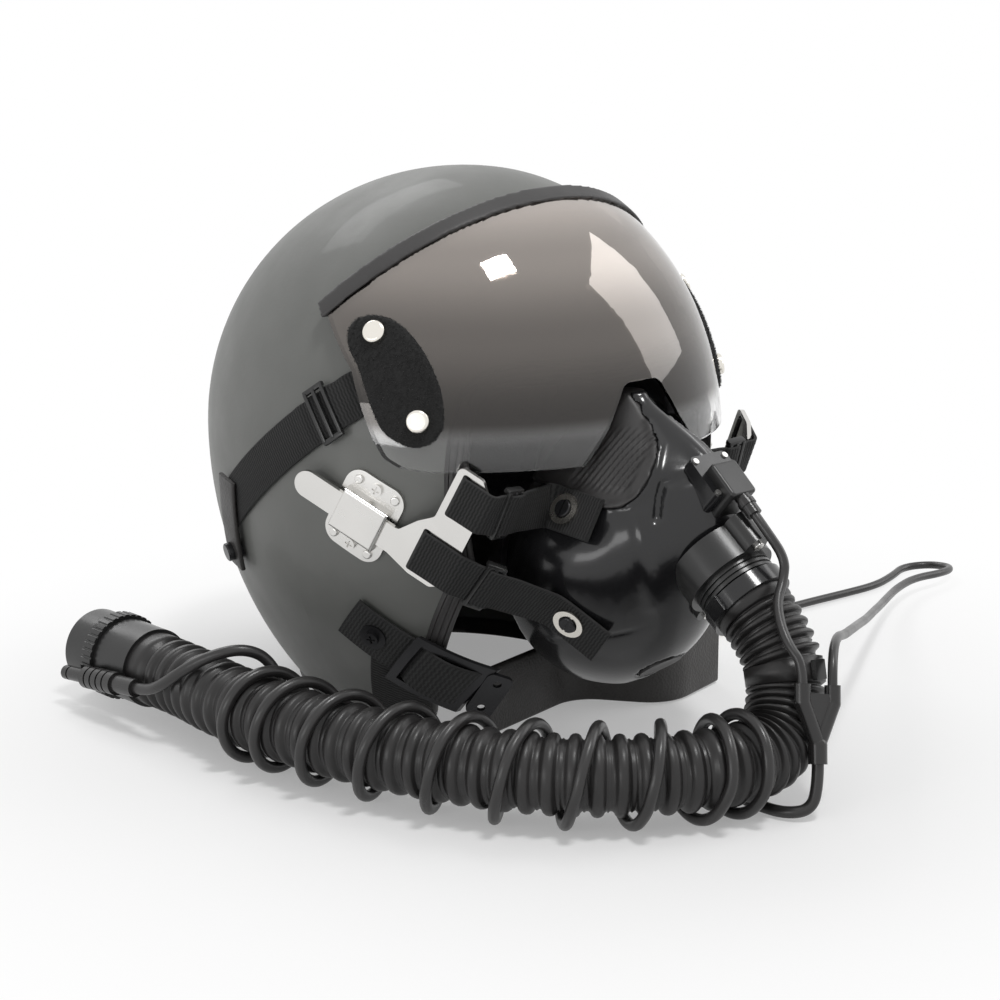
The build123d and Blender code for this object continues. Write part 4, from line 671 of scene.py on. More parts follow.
class HELMET_OT_stage(Operator):
    """Make the floor, the lights and the camera"""
    bl_idname = "helmet.stage"
    bl_label = "Stage"

    def execute(self, context):
        scene = context.scene
        scene.view_settings.view_transform = "Standard"
        lens = bpy.data.cameras.new("camera")
        lens.lens, lens.sensor_width = 90.0, 36.0
        lens.clip_start, lens.clip_end = 0.01, 50.0
        camera = bpy.data.objects.new("camera", lens)
        camera.location = CAMERA_PLACE
        camera.rotation_euler = (radians(CAMERA_TILT), 0.0, radians(CAMERA_TURN))
        scene.collection.objects.link(camera)
        scene.camera = camera
        self.world(scene)
        self.floor(scene)
        for name, spread, power, place, aim in LAMPS:
            lamp = bpy.data.lights.new(name, "AREA")
            lamp.shape = "RECTANGLE"
            lamp.size, lamp.size_y = spread
            lamp.energy = power
            holder = bpy.data.objects.new(name, lamp)
            holder.location = place
            holder.rotation_euler = (Vector(aim) - Vector(place)).to_track_quat("-Z", "Y").to_euler()
            scene.collection.objects.link(holder)
        return {"FINISHED"}

    def world(self, scene):
        """White to the camera, in gloss and through glass, and soft grey light on the object."""
        world = bpy.data.worlds.new("studio")
        scene.world = world
        world.use_nodes = True
        tree = world.node_tree
        level = put(tree, "ShaderNodeMapRange", Value=self.seen(tree), To_Min=DIFFUSE_LIGHT, To_Max=1.0)
        fill(tree, tree.nodes["Background"], Color=(1.0, 1.0, 1.0, 1.0), Strength=level.outputs["Result"])

    def seen(self, tree):
        """1 where the camera, a glossy surface or glass looks."""
        path = tree.nodes.new("ShaderNodeLightPath")
        either = math_node(tree, "MAXIMUM", path.outputs["Is Camera Ray"], path.outputs["Is Glossy Ray"])
        return math_node(tree, "MAXIMUM", either, path.outputs["Is Transmission Ray"])

    def floor(self, scene):
        """A white floor that holds the shadow beside the object and turns plain white away from it."""
        corners = [(x * FLOOR_REACH, y * FLOOR_REACH, FLOOR_LEVEL)
                   for x, y in ((-1, -1), (1, -1), (1, 1), (-1, 1))]
        mesh = bpy.data.meshes.new("floor")
        mesh.from_pydata(corners, [], [(0, 1, 2, 3)])
        floor_piece = bpy.data.objects.new("floor", mesh)
        scene.collection.objects.link(floor_piece)
        material = bpy.data.materials.new("floor")
        material.use_nodes = True
        tree = material.node_tree
        shader = tree.nodes["Principled BSDF"]
        fill(tree, shader, Base_Color=(0.94, 0.94, 0.94, 1.0), Roughness=0.7)
        plain = put(tree, "ShaderNodeEmission", Color=(1.0, 1.0, 1.0, 1.0))
        place = put(tree, "ShaderNodeVectorMath", {"operation": "DISTANCE"})
        place.inputs[1].default_value = SHADOW_MIDDLE
        tree.links.new(tree.nodes.new("ShaderNodeTexCoord").outputs["Object"], place.inputs[0])
        far = put(tree, "ShaderNodeMapRange", {"interpolation_type": "SMOOTHSTEP"},
                  Value=place.outputs["Value"], From_Min=SHADOW_FROM, From_Max=SHADOW_TO,
                  To_Min=SHADOW_FILL, To_Max=1.0)
        mix = put(tree, "ShaderNodeMixShader",
                  Fac=math_node(tree, "MULTIPLY", far.outputs["Result"], self.seen(tree)))
        tree.links.new(shader.outputs["BSDF"], mix.inputs[1])
        tree.links.new(plain.outputs["Emission"], mix.inputs[2])
        tree.links.new(mix.outputs["Shader"], tree.nodes["Material Output"].inputs["Surface"])
        mesh.materials.append(material)


def nurbs(name, points, bevel=0.0, slot=None):
    """A smooth cord through its control points."""
    curve = bpy.data.curves.new(name, "CURVE")
    curve.dimensions = "3D"
    spline = curve.splines.new("NURBS")
    spline.points.add(len(points) - 1)
    for control, point in zip(spline.points, points):
        control.co = (*point, 1.0)
    spline.order_u = 3
    spline.use_endpoint_u = True
    spline.resolution_u = 8
    curve.bevel_depth = bevel
    curve.bevel_resolution = 5
    curve.use_fill_caps = True
    if slot:
        curve.materials.append(FINISHES[slot])
    piece = bpy.data.objects.new(name, curve)
    bpy.context.scene.collection.objects.link(piece)
    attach(piece, "helmet")
    return piece


def line_of(points):
    """Points read along the spline of a route."""
    guide = nurbs("guide", points)
    bpy.context.view_layer.update()
    mesh = bpy.data.meshes.new_from_object(guide.evaluated_get(bpy.context.evaluated_depsgraph_get()))
    line = [vertex.co.copy() for vertex in mesh.vertices]
    bpy.data.meshes.remove(mesh)
    curve = guide.data
    bpy.data.objects.remove(guide)
    bpy.data.curves.remove(curve)
    return line


def run_of(line):
    """The distance of each point of a line from its start, along the line."""
    total, sums = 0.0, [0.0]
    for a, b in zip(line, line[1:]):
        total += (b - a).length
        sums.append(total)
    return sums


def spot_on(line, sums, place):
    """A point on a line and its direction, at a distance from its start."""
    place = max(0.0, min(place, sums[-1]))
    low, high = 0, len(sums) - 1
    while high - low > 1:
        middle = (low + high) // 2
        low, high = (middle, high) if sums[middle] <= place else (low, middle)
    share = (place - sums[low]) / max(1e-9, sums[high] - sums[low])
    here = line[low].lerp(line[high], share)
    before, after = line[max(low - 1, 0)], line[min(high + 1, len(line) - 1)]
    return here, (after - before).normalized()


def node_group(name, inputs):
    """A geometry tree with a geometry input and output and named inputs."""
    tree = bpy.data.node_groups.new(name, "GeometryNodeTree")
    tree.interface.new_socket("Geometry", in_out="INPUT", socket_type="NodeSocketGeometry")
    for label, kind, value in inputs:
        socket = tree.interface.new_socket(label, in_out="INPUT", socket_type=kind)
        if value is not None:
            socket.default_value = value
    tree.interface.new_socket("Geometry", in_out="OUTPUT", socket_type="NodeSocketGeometry")
    return tree, tree.nodes.new("NodeGroupInput"), tree.nodes.new("NodeGroupOutput")


def end_tree(tree, geometry, given, output):
    """Realize Instances and Set Material close every tree."""
    real = put(tree, "GeometryNodeRealizeInstances", Geometry=geometry)
    paint = put(tree, "GeometryNodeSetMaterial", Geometry=real.outputs["Geometry"],
                Material=given.outputs["Material"])
    fill(tree, output, Geometry=paint.outputs["Geometry"])


def run_tree(piece, tree, values):
    """The mesh that a tree makes of a piece, with the tree's inputs set by identifier."""
    modifier = piece.modifiers.new(tree.name, "NODES")
    modifier.node_group = tree
    for item in tree.interface.items_tree:
        if item.in_out == "INPUT" and item.name in values:
            modifier[item.identifier] = values[item.name]
    bpy.context.view_layer.update()
    graph = bpy.context.evaluated_depsgraph_get()
    return bpy.data.meshes.new_from_object(piece.evaluated_get(graph))


def math_node(tree, operation, *values):
    """The result of an operation on values or sockets."""
    node = tree.nodes.new("ShaderNodeMath")
    node.operation = operation
    for socket, value in zip(node.inputs, values):
        if isinstance(value, (int, float)):
            socket.default_value = value
        else:
            tree.links.new(value, socket)
    return node.outputs[0]


def hose_tree():
    """A tube round a line, its radius less by the groove's depth that is stored on the points."""
    tree, given, output = node_group("hose_ribs", (
        ("Material", "NodeSocketMaterial", None), ("Radius", "NodeSocketFloat", 0.018),
        ("Groove", "NodeSocketFloat", 0.0028), ("Sides", "NodeSocketInt", HOSE_SIDES)))
    line = put(tree, "GeometryNodeMeshToCurve", Mesh=given.outputs["Geometry"])
    rib = put(tree, "GeometryNodeInputNamedAttribute", {"data_type": "FLOAT"}, Name="rib")
    depth = math_node(tree, "MULTIPLY", rib.outputs["Attribute"], given.outputs["Groove"])
    radius = math_node(tree, "SUBTRACT", given.outputs["Radius"], depth)
    sized = put(tree, "GeometryNodeSetCurveRadius", Curve=line.outputs["Curve"], Radius=radius)
    circle = put(tree, "GeometryNodeCurvePrimitiveCircle", Radius=1.0, Resolution=given.outputs["Sides"])
    skin = put(tree, "GeometryNodeCurveToMesh", Curve=sized.outputs["Curve"],
               Profile_Curve=circle.outputs["Curve"], Scale=radius)
    end_tree(tree, skin.outputs["Mesh"], given, output)
    return tree


class HELMET_OT_hose(Operator):
    """Make the ribbed breathing hose"""
    bl_idname = "helmet.hose"
    bl_label = "Breathing hose"

    def execute(self, context):
        sizes = context.scene.helmet_sizes
        line = line_of(HOSE_ROUTE)
        sums = run_of(line)
        length = sums[-1]
        places, depths = self.profile(length, sizes)
        guide = bpy.data.meshes.new("hose_line")
        points = [spot_on(line, sums, place)[0] for place in places]
        guide.from_pydata([tuple(p) for p in points], [(i, i + 1) for i in range(len(points) - 1)], [])
        rib = guide.attributes.new("rib", "FLOAT", "POINT")
        rib.data.foreach_set("value", depths)
        carrier = bpy.data.objects.new("hose_line", guide)
        context.scene.collection.objects.link(carrier)
        mesh = run_tree(carrier, hose_tree(), {
            "Material": FINISHES["black_rubber"], "Radius": sizes.hose_radius, "Groove": sizes.hose_groove,
            "Sides": HOSE_SIDES})
        bpy.data.objects.remove(carrier)
        mesh.name = "hose"
        smooth_faces(mesh)
        hose = bpy.data.objects.new("hose", mesh)
        context.scene.collection.objects.link(hose)
        turn_faces_out(hose, merge=True)
        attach(hose, "helmet")
        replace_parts(hose, "breathing_hose")
        return {"FINISHED"}

    def profile(self, length, sizes):
        """Places along the hose with the depth there, 1 in a groove and 0 on a rib."""
        places = FIRST_RINGS + [HOSE_PLAIN]
        depths = [0.0] * len(places)
        for start, end, pitch in ((HOSE_PLAIN, CUFF_FROM, sizes.bend_pitch),
                                  (CUFF_TO, BEND_END, sizes.bend_pitch),
                                  (BEND_END, length - HOSE_PLAIN, sizes.hose_pitch)):
            count = round((end - start) / pitch)
            step = (end - start) / count
            for rib in range(count):
                for share, depth in RIB_SHARES:
                    places.append(start + (rib + share) * step)
                    depths.append(depth)
            places.append(end)
            depths.append(BEND_END_DEPTH if end == BEND_END else 0.0)
            if end == CUFF_FROM:
                places.append(CUFF_TO - CUFF_EDGE)
                depths.append(0.0)
        places += [length - LAST_RING, length]
        depths += [0.0, 0.0]
        return places, depths


class HELMET_OT_cables(Operator):
    """Make the cables and the lead wound round the hose"""
    bl_idname = "helmet.cables"
    bl_label = "Cables and lead"

    def execute(self, context):
        sizes = context.scene.helmet_sizes
        for name, route, node, parts in (
                ("mic_flex", MIC_ROUTE, "mic_cable", ["mic_plug"]),
                ("earphone_flex", EAR_ROUTE, "earphone_cable", ["lead_junction", "cable_sleeve"])):
            piece = nurbs(name, route, sizes.cable_diameter / 2, "cable_rubber")
            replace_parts(piece, node)
            round(run_of(line_of(route))[-1], 4)
        route = self.lead_route(sizes)
        lead = nurbs("comm_lead", route, sizes.lead_diameter / 2, "cable_rubber")
        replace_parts(lead, "comm_lead_start", "comm_lead_coil", "comm_lead_end")
        round(run_of(line_of(route))[-1], 4)
        return {"FINISHED"}

    def lead_route(self, sizes):
        """The lead's control points: from the junction, round the hose and over it to the plug."""
        line = line_of(HOSE_ROUTE)
        sums = run_of(line)
        reach = sizes.hose_radius + LEAD_GAP + sizes.lead_diameter / 2
        cut_in = cos(pi / POINTS_PER_TURN)
        route = [Vector(point) for point in LEAD_START]
        low, high = LEAD_TURNS[0][0], LEAD_TURNS[-1][0]
        steps = round((high - low) / 360 * POINTS_PER_TURN)
        stretch = sums[-1] / LEAD_TURNS_LENGTH
        for step in range(steps + 1):
            angle = low + (high - low) * step / steps
            for (a, start), (b, end) in zip(LEAD_TURNS, LEAD_TURNS[1:]):
                if a <= angle <= b:
                    place = (start + (end - start) * (angle - a) / (b - a)) * MM * stretch
                    break
            centre, tangent = spot_on(line, sums, place)
            up = (Vector((0, 0, 1)) - tangent * tangent.z).normalized()
            front = up.cross(tangent)
            out = up * cos(radians(angle)) + front * sin(radians(angle))
            route.append(centre + out * (reach / cut_in))
        route += [Vector(point) for point in LEAD_TAIL]
        return [tuple(point) for point in route]


class HELMET_OT_hard_parts(Operator):
    """Give the moulded and metal pieces their finishes"""
    bl_idname = "helmet.hard_parts"
    bl_label = "Hard parts"

    def execute(self, context):
        slots = {part["node"]: part["material_slot"] for part in frame["record"]["subparts"]}
        for name, node in frame["nodes"].items():
            if slots.get(name) not in FINISHES:
                raise RuntimeError("no finish for " + name)
            node.data.materials.clear()
            node.data.materials.append(FINISHES[slots[name]])
        return {"FINISHED"}


class HELMET_OT_edge_roll(Operator):
    """Make the beading round the shell's edge"""
    bl_idname = "helmet.edge_roll"
    bl_label = "Edge roll"

    def execute(self, context):
        half = self.edge_half()
        loop = half + [(mirrored(point), mirrored(normal)) for point, normal in reversed(half[1:-1])]
        rings, uvs = [], []
        run = 0.0
        for i, (point, normal) in enumerate(loop):
            after = loop[(i + 1) % len(loop)][0]
            tangent = (after - loop[i - 1][0]).normalized()
            over = tangent.cross(normal).normalized()
            ring = [point + over * across * MM + normal * height * MM for across, height in EDGE_SECTION]
            rings.append([Vector((spot.x, spot.y, max(spot.z, FLOOR_GAP))) for spot in ring])
            uvs += [(across * MM, run) for across, _ in EDGE_SECTION]
            run += (after - point).length
        roll = loft_mesh("edge_beading", rings, "soft_rubber", sharp=60.0, uvs=uvs, closed=True)
        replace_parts(roll, "edge_roll")
        return {"FINISHED"}

    def edge_half(self):
        """Points of the right half of the shell's edge, from the brow's middle to the nape."""
        (brow_y, brow_z), (rim_y, rim_z) = OPENING[0], OPENING[-1]
        front_y = -FRONT * sqrt(1 - (brow_z / TOP) ** 2)
        back_y = BACK * sqrt(1 - (rim_z / BOTTOM) ** 2)
        outline = []
        for step in range(BROW_STEPS):
            y = front_y * cos(radians(90.0 * step / BROW_STEPS))
            if y > brow_y - OPENING_ROUNDING:
                break
            outline.append((y, brow_z))
        corners = [(brow_y - OPENING_ROUNDING - 1, brow_z)] + OPENING + [(rim_y + RIM_CORNER, rim_z)]
        for before, here, after in zip(corners, corners[1:], corners[2:]):
            outline += corner(before, here, after, OPENING_ROUNDING)
        for step in range(RIM_STEPS):
            y = back_y * cos(radians(90.0 * (1 - step / (RIM_STEPS - 1))))
            if y > rim_y + RIM_FROM:
                outline.append((y, rim_z))
        dense = []
        for a, b in zip(outline, outline[1:]):
            parts = max(1, int(hypot(b[0] - a[0], b[1] - a[1]) / EDGE_STEP))
            dense += [along(a, b, k / parts) for k in range(parts)]
        dense.append(outline[-1])
        return [dome(y, z) for y, z in dense]


def corner(before, here, after, radius):
    """Points of the arc that rounds a corner, in two dimensions."""
    a, h, b = Vector(before), Vector(here), Vector(after)
    to_a, to_b = (a - h).normalized(), (b - h).normalized()
    half = to_a.angle(to_b) / 2
    reach = radius / tan(half)
    centre = h + (to_a + to_b).normalized() * (radius / sin(half))
    first, last = h + to_a * reach - centre, h + to_b * reach - centre
    turn = first.angle(last)
    points = []
    for k in range(ARC_STEPS + 1):
        share = k / ARC_STEPS
        spoke = (first * sin((1 - share) * turn) + last * sin(share * turn)) / sin(turn)
        points.append(tuple(centre + spoke))
    return points


class HELMET_OT_lining(Operator):
    """Make the foam, the pads and the ear seals"""
    bl_idname = "helmet.lining"
    bl_label = "Lining"

    def execute(self, context):
        soft_copy("foam_lining", "foam_liner", LINING_VOXEL, "grey_foam", smooth=3)
        for name, node, cap in PADS:
            pad = soft_copy(name, node, LINING_VOXEL, "black_leather", smooth=2,
                            shrink=cap * PAD_SHRINK_SHARE)
            inflate(pad, PAD_PRESSURE, cap)
            finer = pad.modifiers.new("finer", "SUBSURF")
            finer.levels = finer.render_levels = 1
            bake_modifiers(pad)
            smooth_faces(pad.data)
        spacers = soft_copy("ear_spacer_pads", "ear_spacers", SPACER_VOXEL, "grey_foam", smooth=3)
        return {"FINISHED"}


class HELMET_OT_straps(Operator):
    """Make the webbing on the shell and the chin band"""
    bl_idname = "helmet.straps"
    bl_label = "Shell straps"

    def execute(self, context):
        sizes = context.scene.helmet_sizes
        weave = {"weave": sizes.rib_height, "pitch": sizes.rib_pitch}
        for side, word in SIDES:
            self.visor_strap(side, word, weave)
            main = shell_strap("chin_webbing_main_" + word, CHIN_MAIN, side, "black_webbing", CHIN_OVERRUN,
                               **weave)
            leg = shell_strap("chin_webbing_leg_" + word, CHIN_LEG, side, "black_webbing", **weave)
            for strap in (self.over_buckle(side, word, weave), main, leg):
                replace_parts(strap, "chin_webbing_" + word)
        for side, word in SIDES:
            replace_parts(shell_strap("nape_tab_" + word, NAPE_TAB, side, "black_leather"), "strap_tabs")
        middle, normal = dome(*along(STRAP_FROM, STRAP_TO, TRIGLIDE_SHARE), TRIGLIDE_LIFT)
        ahead, _ = dome(*along(STRAP_FROM, STRAP_TO, TRIGLIDE_SHARE + TRIGLIDE_AHEAD_SHARE), TRIGLIDE_LIFT)
        run = (ahead - middle - normal * (ahead - middle).dot(normal)).normalized()
        frames = ladder("triglides", [(middle, run, normal)], TRIGLIDE_SIZE, "black_plastic", "helmet")
        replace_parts(frames, "visor_triglides")
        self.band()
        return {"FINISHED"}

    def visor_strap(self, side, word, weave):
        """The strap from the visor over the shell, with puckers beside its triglide."""
        flat, length = strip_place(STRAP_FROM, STRAP_TO, STRAP_LIFT, side)

        def place(s, t):
            point, normal = flat(s, t)
            off = s / MM - TRIGLIDE_SHARE * length / MM
            wave = 0.5 - 0.5 * cos(2 * pi * off / PUCKER_PITCH)
            return point + normal * (PUCKER_HEIGHT * exp(-(off / PUCKER_REACH) ** 2) * wave * MM), normal
        strap = ribbon("visor_webbing_" + word, place, length, STRAP_WIDTH, STRAP_THICKNESS, "black_webbing",
                       **weave)
        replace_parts(strap, "visor_strap_" + word)

    def over_buckle(self, side, word, weave):
        """The fold of chin webbing that comes up through the buckle and goes over its middle bar."""
        flat, _ = strip_place(CHIN_MAIN[0], CHIN_MAIN[1], FOLD_LIFT, side, begin=FOLD_FROM)
        length = (FOLD_TO - FOLD_FROM) * MM

        def place(s, t):
            point, normal = flat(s, t)
            return point + normal * (FOLD_RISE * sqrt(max(0.0, sin(pi * s / length))) * MM), normal
        return ribbon("chin_webbing_fold_" + word, place, length, FOLD_WIDTH, FOLD_THICKNESS, "black_webbing",
                      **weave)

    def band(self):
        """The upright band that runs under the chin to the far side."""
        outline = [CHIN_BAND[0]]
        for before, here, after in zip(CHIN_BAND, CHIN_BAND[1:], CHIN_BAND[2:]):
            outline += corner(before, here, after, BAND_ROUNDING)
        outline.append(CHIN_BAND[-1])
        line = [Vector((x, y + DOME_Y, 0.0)) * MM for x, y in outline]
        sums = run_of(line)

        def place(s, t):
            point, tangent = spot_on(line, sums, s)
            normal = Vector((tangent.y, -tangent.x, 0.0)).normalized()
            return point + Vector((0, 0, BAND_LEVEL + t)), normal
        band = ribbon("chin_band_strip", place, sums[-1], BAND_WIDTH, BAND_THICKNESS, "black_leather")
        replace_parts(band, "chin_band")


class HELMET_OT_mask_straps(Operator):
    """Make the four webbing straps of the mask"""
    bl_idname = "helmet.mask_straps"
    bl_label = "Mask straps"

    def execute(self, context):
        sizes = context.scene.helmet_sizes
        origin, normal = dome(*BAR_PLACE)
        fall = radians(BAR_FALL)
        heading = Vector(((cos(fall) * normal.y + sin(fall) * normal.z) / normal.x, -cos(fall),
                          -sin(fall))).normalized()
        upward = normal.cross(heading)
        slides = []
        for word, slot, eyelet, turn in (("upper", UPPER_SLOT, UPPER_EYELET, UPPER_TURN),
                                         ("lower", LOWER_SLOT, LOWER_EYELET, LOWER_TURN)):
            def on_plate(u, lift):
                return origin + (heading * u + upward * slot[1] + normal * lift) * MM
            edge = on_plate(PLATE_EDGE, WEB_FACE)
            seat, out = mask_seat(*eyelet, EYELET_SEAT)
            level = (Vector((0, -1, 0)) + out * out.y).normalized()
            rest = level * cos(radians(turn)) + out.cross(level) * sin(radians(turn))
            wide = out.cross(rest)
            behind, ahead = seat - rest * EYELET_BEHIND * MM, seat + rest * EYELET_AHEAD * MM
            run = (behind - edge).normalized()
            broad = upward.lerp(wide, SLIDE_SHARE)
            broad = (broad - run * broad.dot(run)).normalized()
            facing = run.cross(broad)
            middle = edge.lerp(behind, SLIDE_SHARE)
            slides.append((middle + facing * SLIDE_LIFT * MM, run, facing))

            def near(step, lift):
                return middle + (run * step + facing * lift) * MM
            web = [(on_plate(slot[0] + step, lift), upward) for step, lift in WEB_ON_PLATE] + [(edge, upward)]
            web += [(near(*steps), broad) for steps in WEB_AT_SLIDE]
            end = [(near(*steps), broad) for steps in END_AT_SLIDE]
            end += [(near(*END_PAST_SLIDE), broad.lerp(wide, END_TURN_SHARE)),
                    (behind + out * EYELET_RISE * MM, wide), (seat, wide), (ahead, wide)]
            first, second = lane(web, WEB_BEND * MM), lane(end, END_BEND * MM)
            for side, hand in SIDES:
                for part, (line, wides) in (("web", first), ("end", second)):
                    strap = ribbon("mask_%s_%s_%s" % (part, word, hand), strap_place(line, wides, side),
                                   run_of(line)[-1], sizes.webbing_width, sizes.webbing_thickness,
                                   "black_webbing", "mask", weave=sizes.rib_height, pitch=sizes.rib_pitch)
                    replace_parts(strap, "mask_strap_%s_%s" % (word, hand))
        frames = ladder("strap_frames", slides, SLIDE_SIZE, "black_plastic", "mask")
        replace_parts(frames, "strap_slides")
        return {"FINISHED"}


def lane(stations, radius):
    """A line with rounded bends through points, and the strap's width direction along it."""
    line, wides = [stations[0][0]], [stations[0][1]]
    for (before, _), (here, wide), (after, _) in zip(stations, stations[1:], stations[2:]):
        to_a, to_b = before - here, after - here
        first = here + to_a.normalized() * min(radius, to_a.length * BEND_SHARE)
        last = here + to_b.normalized() * min(radius, to_b.length * BEND_SHARE)
        for k in range(ARC_STEPS + 1):
            share = k / ARC_STEPS
            line.append(first.lerp(here, share).lerp(here.lerp(last, share), share))
            wides.append(wide)
    line.append(stations[-1][0])
    wides.append(stations[-1][1])
    return line, wides


def strap_place(line, wides, side):
    """The middle surface of a strap along a line, on one side of the object."""
    sums = run_of(line)

    def place(s, t):
        point, tangent = spot_on(line, sums, s)
        low = max(0, min(len(sums) - 2, int(np.searchsorted(sums, s)) - 1))
        share = max(0.0, min(1.0, (s - sums[low]) / max(1e-9, sums[low + 1] - sums[low])))
        wide = wides[low].lerp(wides[low + 1], share)
        wide = (wide - tangent * wide.dot(tangent)).normalized()
        facing = tangent.cross(wide)
        point = point + wide * t
        if side > 0:
            return mirrored(point), mirrored(facing)
        return point, facing
    return place


def ladder(name, places, size, slot, body):
    """Frames of two rails and three bars at places on the right, with the same on the left."""
    length, width, height = size
    blocks = [((0.0, side * (width / 2 - RAIL_WIDTH / 2), 0.0), (length, RAIL_WIDTH, height))
              for side in (-1, 1)]
    blocks += [((step * (length / 2 - BAR_WIDTH / 2), 0.0, BAR_DROP_SHARE * height),
                (BAR_WIDTH, width - RAIL_WIDTH, BAR_HEIGHT_SHARE * height)) for step in (-1, 0, 1)]
    work = bmesh.new()
    for middle, run, normal in places:
        across = normal.cross(run)
        for centre, sides in blocks:
            made = bmesh.ops.create_cube(work, size=1.0)["verts"]
            for vert in made:
                vert.co = Vector([centre[k] + vert.co[k] * sides[k] for k in range(3)])
            edges = list({edge for vert in made for edge in vert.link_edges})
            bevelled = bmesh.ops.bevel(work, geom=edges, offset=FRAME_BEVEL, segments=2, affect="EDGES",
                                       profile=0.6)["verts"]
            for vert in {*bevelled, *(vert for vert in made if vert.is_valid)}:
                a, b, c = vert.co
                vert.co = middle + (run * a + across * b + normal * c) * MM
    mesh = bpy.data.meshes.new(name)
    work.to_mesh(mesh)
    work.free()
    points = [vertex.co.copy() for vertex in mesh.vertices]
    faces = [tuple(face.vertices) for face in mesh.polygons]
    bpy.data.meshes.remove(mesh)
    count = len(points)
    points += [mirrored(point) for point in points]
    faces += [tuple(count + k for k in reversed(face)) for face in faces]
    piece = mesh_piece(name, points, faces, slot, sharp=40.0, body=body)
    turn_faces_out(piece, merge=True)
    return piece


class HELMET_OT_mask(Operator):
    """Shape the mask's shell and its soft facepiece"""
    bl_idname = "helmet.mask"
    bl_label = "Mask"

    def execute(self, context):
        centre = np.array([0.0, DOME_Y, DOME_Z])
        for name, node, voxel, slot in MASK_FORMS:
            piece = soft_copy(name, node, voxel, slot, smooth=3, body="mask")
            count = len(piece.data.vertices)
            flat = np.empty(count * 3)
            piece.data.vertices.foreach_get("co", flat)
            spots = flat.reshape(count, 3) / MM - centre
            moved = (spots + self.shift(spots, node == "mask_facepiece") + centre) * MM
            piece.data.vertices.foreach_set("co", moved.ravel())
            piece.data.update()
        return {"FINISHED"}

    def shift(self, spots, soft):
        """Moves of the skin: ridges and creases of the shell, bellows of the soft part."""
        side = spots.copy()
        side[:, 0] = np.abs(side[:, 0])
        y, z = spots[:, 1], spots[:, 2]
        out = (spots - np.array(MASK_MIDDLE)) * np.array(MASK_OUT_SHARES)
        out /= np.linalg.norm(out, axis=1)[:, None] + 1e-9
        lift = np.zeros(len(spots))
        for reach, height, line in MASK_FEATURES:
            gap = np.full(len(spots), 1e9)
            for start, end in zip(line, line[1:]):
                start, end = np.array(start), np.array(end)
                step = end - start
                share = np.clip(((side - start) @ step) / (step @ step), 0.0, 1.0)
                gap = np.minimum(gap, np.linalg.norm(side - start - share[:, None] * step, axis=1))
            lift += height * np.exp(-(gap / reach) ** 2)
        move = out * lift[:, None]
        high, front = fade(z, NOSE_UP), fade(-y, NOSE_FORWARD)
        move[:, 1] -= NOSE_RISE * high * front * np.exp(-(side[:, 0] / NOSE_HALF) ** 2)
        move[:, 0] -= (np.sign(spots[:, 0]) * HOLLOW_DEPTH * high * front
                       * np.exp(-((side[:, 0] - HOLLOW_PLACE) / HOLLOW_HALF) ** 2))
        if soft:
            inner = fade(-y, BELLOWS_FRONT) * fade(y, BELLOWS_BACK)
            inner *= fade(z, BELLOWS_LOW) * fade(-z, BELLOWS_HIGH)
            wave = np.cos(2 * pi * (y * BELLOWS_SLOPE[0] + z * BELLOWS_SLOPE[1]) / BELLOWS_PITCH)
            move += out * (inner * (BELLOWS_WAVE * wave - BELLOWS_SINK))[:, None]
        return move


def fade(values, span):
    """0 up to the span's start, and 1 from its length past that."""
    start, length = span
    return np.clip((values - start) / length, 0.0, 1.0)


def patch_tree():
    """Short hooked fibres scattered over the faces of a patch."""
    tree, given, output = node_group("hook_fibres", (
        ("Material", "NodeSocketMaterial", None), ("Length", "NodeSocketFloat", 0.0008),
        ("Density", "NodeSocketFloat", FIBRE_DENSITY), ("Seed", "NodeSocketInt", FIBRE_SEED)))
    patch, seed = given.outputs["Geometry"], given.outputs["Seed"]
    scatter = put(tree, "GeometryNodeDistributePointsOnFaces", Mesh=patch, Density=given.outputs["Density"],
                  Seed=seed)
    fibre = put(tree, "GeometryNodeMeshCone", Vertices=4, Radius_Top=FIBRE_TIP, Radius_Bottom=FIBRE_ROOT,
                Depth=given.outputs["Length"])
    turn = put(tree, "FunctionNodeRandomValue", {"data_type": "FLOAT_VECTOR"},
               Min=tuple(-angle for angle in FIBRE_TILT), Max=FIBRE_TILT, Seed=seed)
    tilt = put(tree, "FunctionNodeRotateRotation", {"rotation_space": "LOCAL"},
               Rotation=scatter.outputs["Rotation"], Rotate_By=turn.outputs["Value"])
    fibres = put(tree, "GeometryNodeInstanceOnPoints", Points=scatter.outputs["Points"],
                 Instance=fibre.outputs["Mesh"], Rotation=tilt.outputs["Rotation"])
    join = put(tree, "GeometryNodeJoinGeometry", Geometry=patch)
    fill(tree, join, Geometry=fibres.outputs["Instances"])
    end_tree(tree, join.outputs["Geometry"], given, output)
    return tree


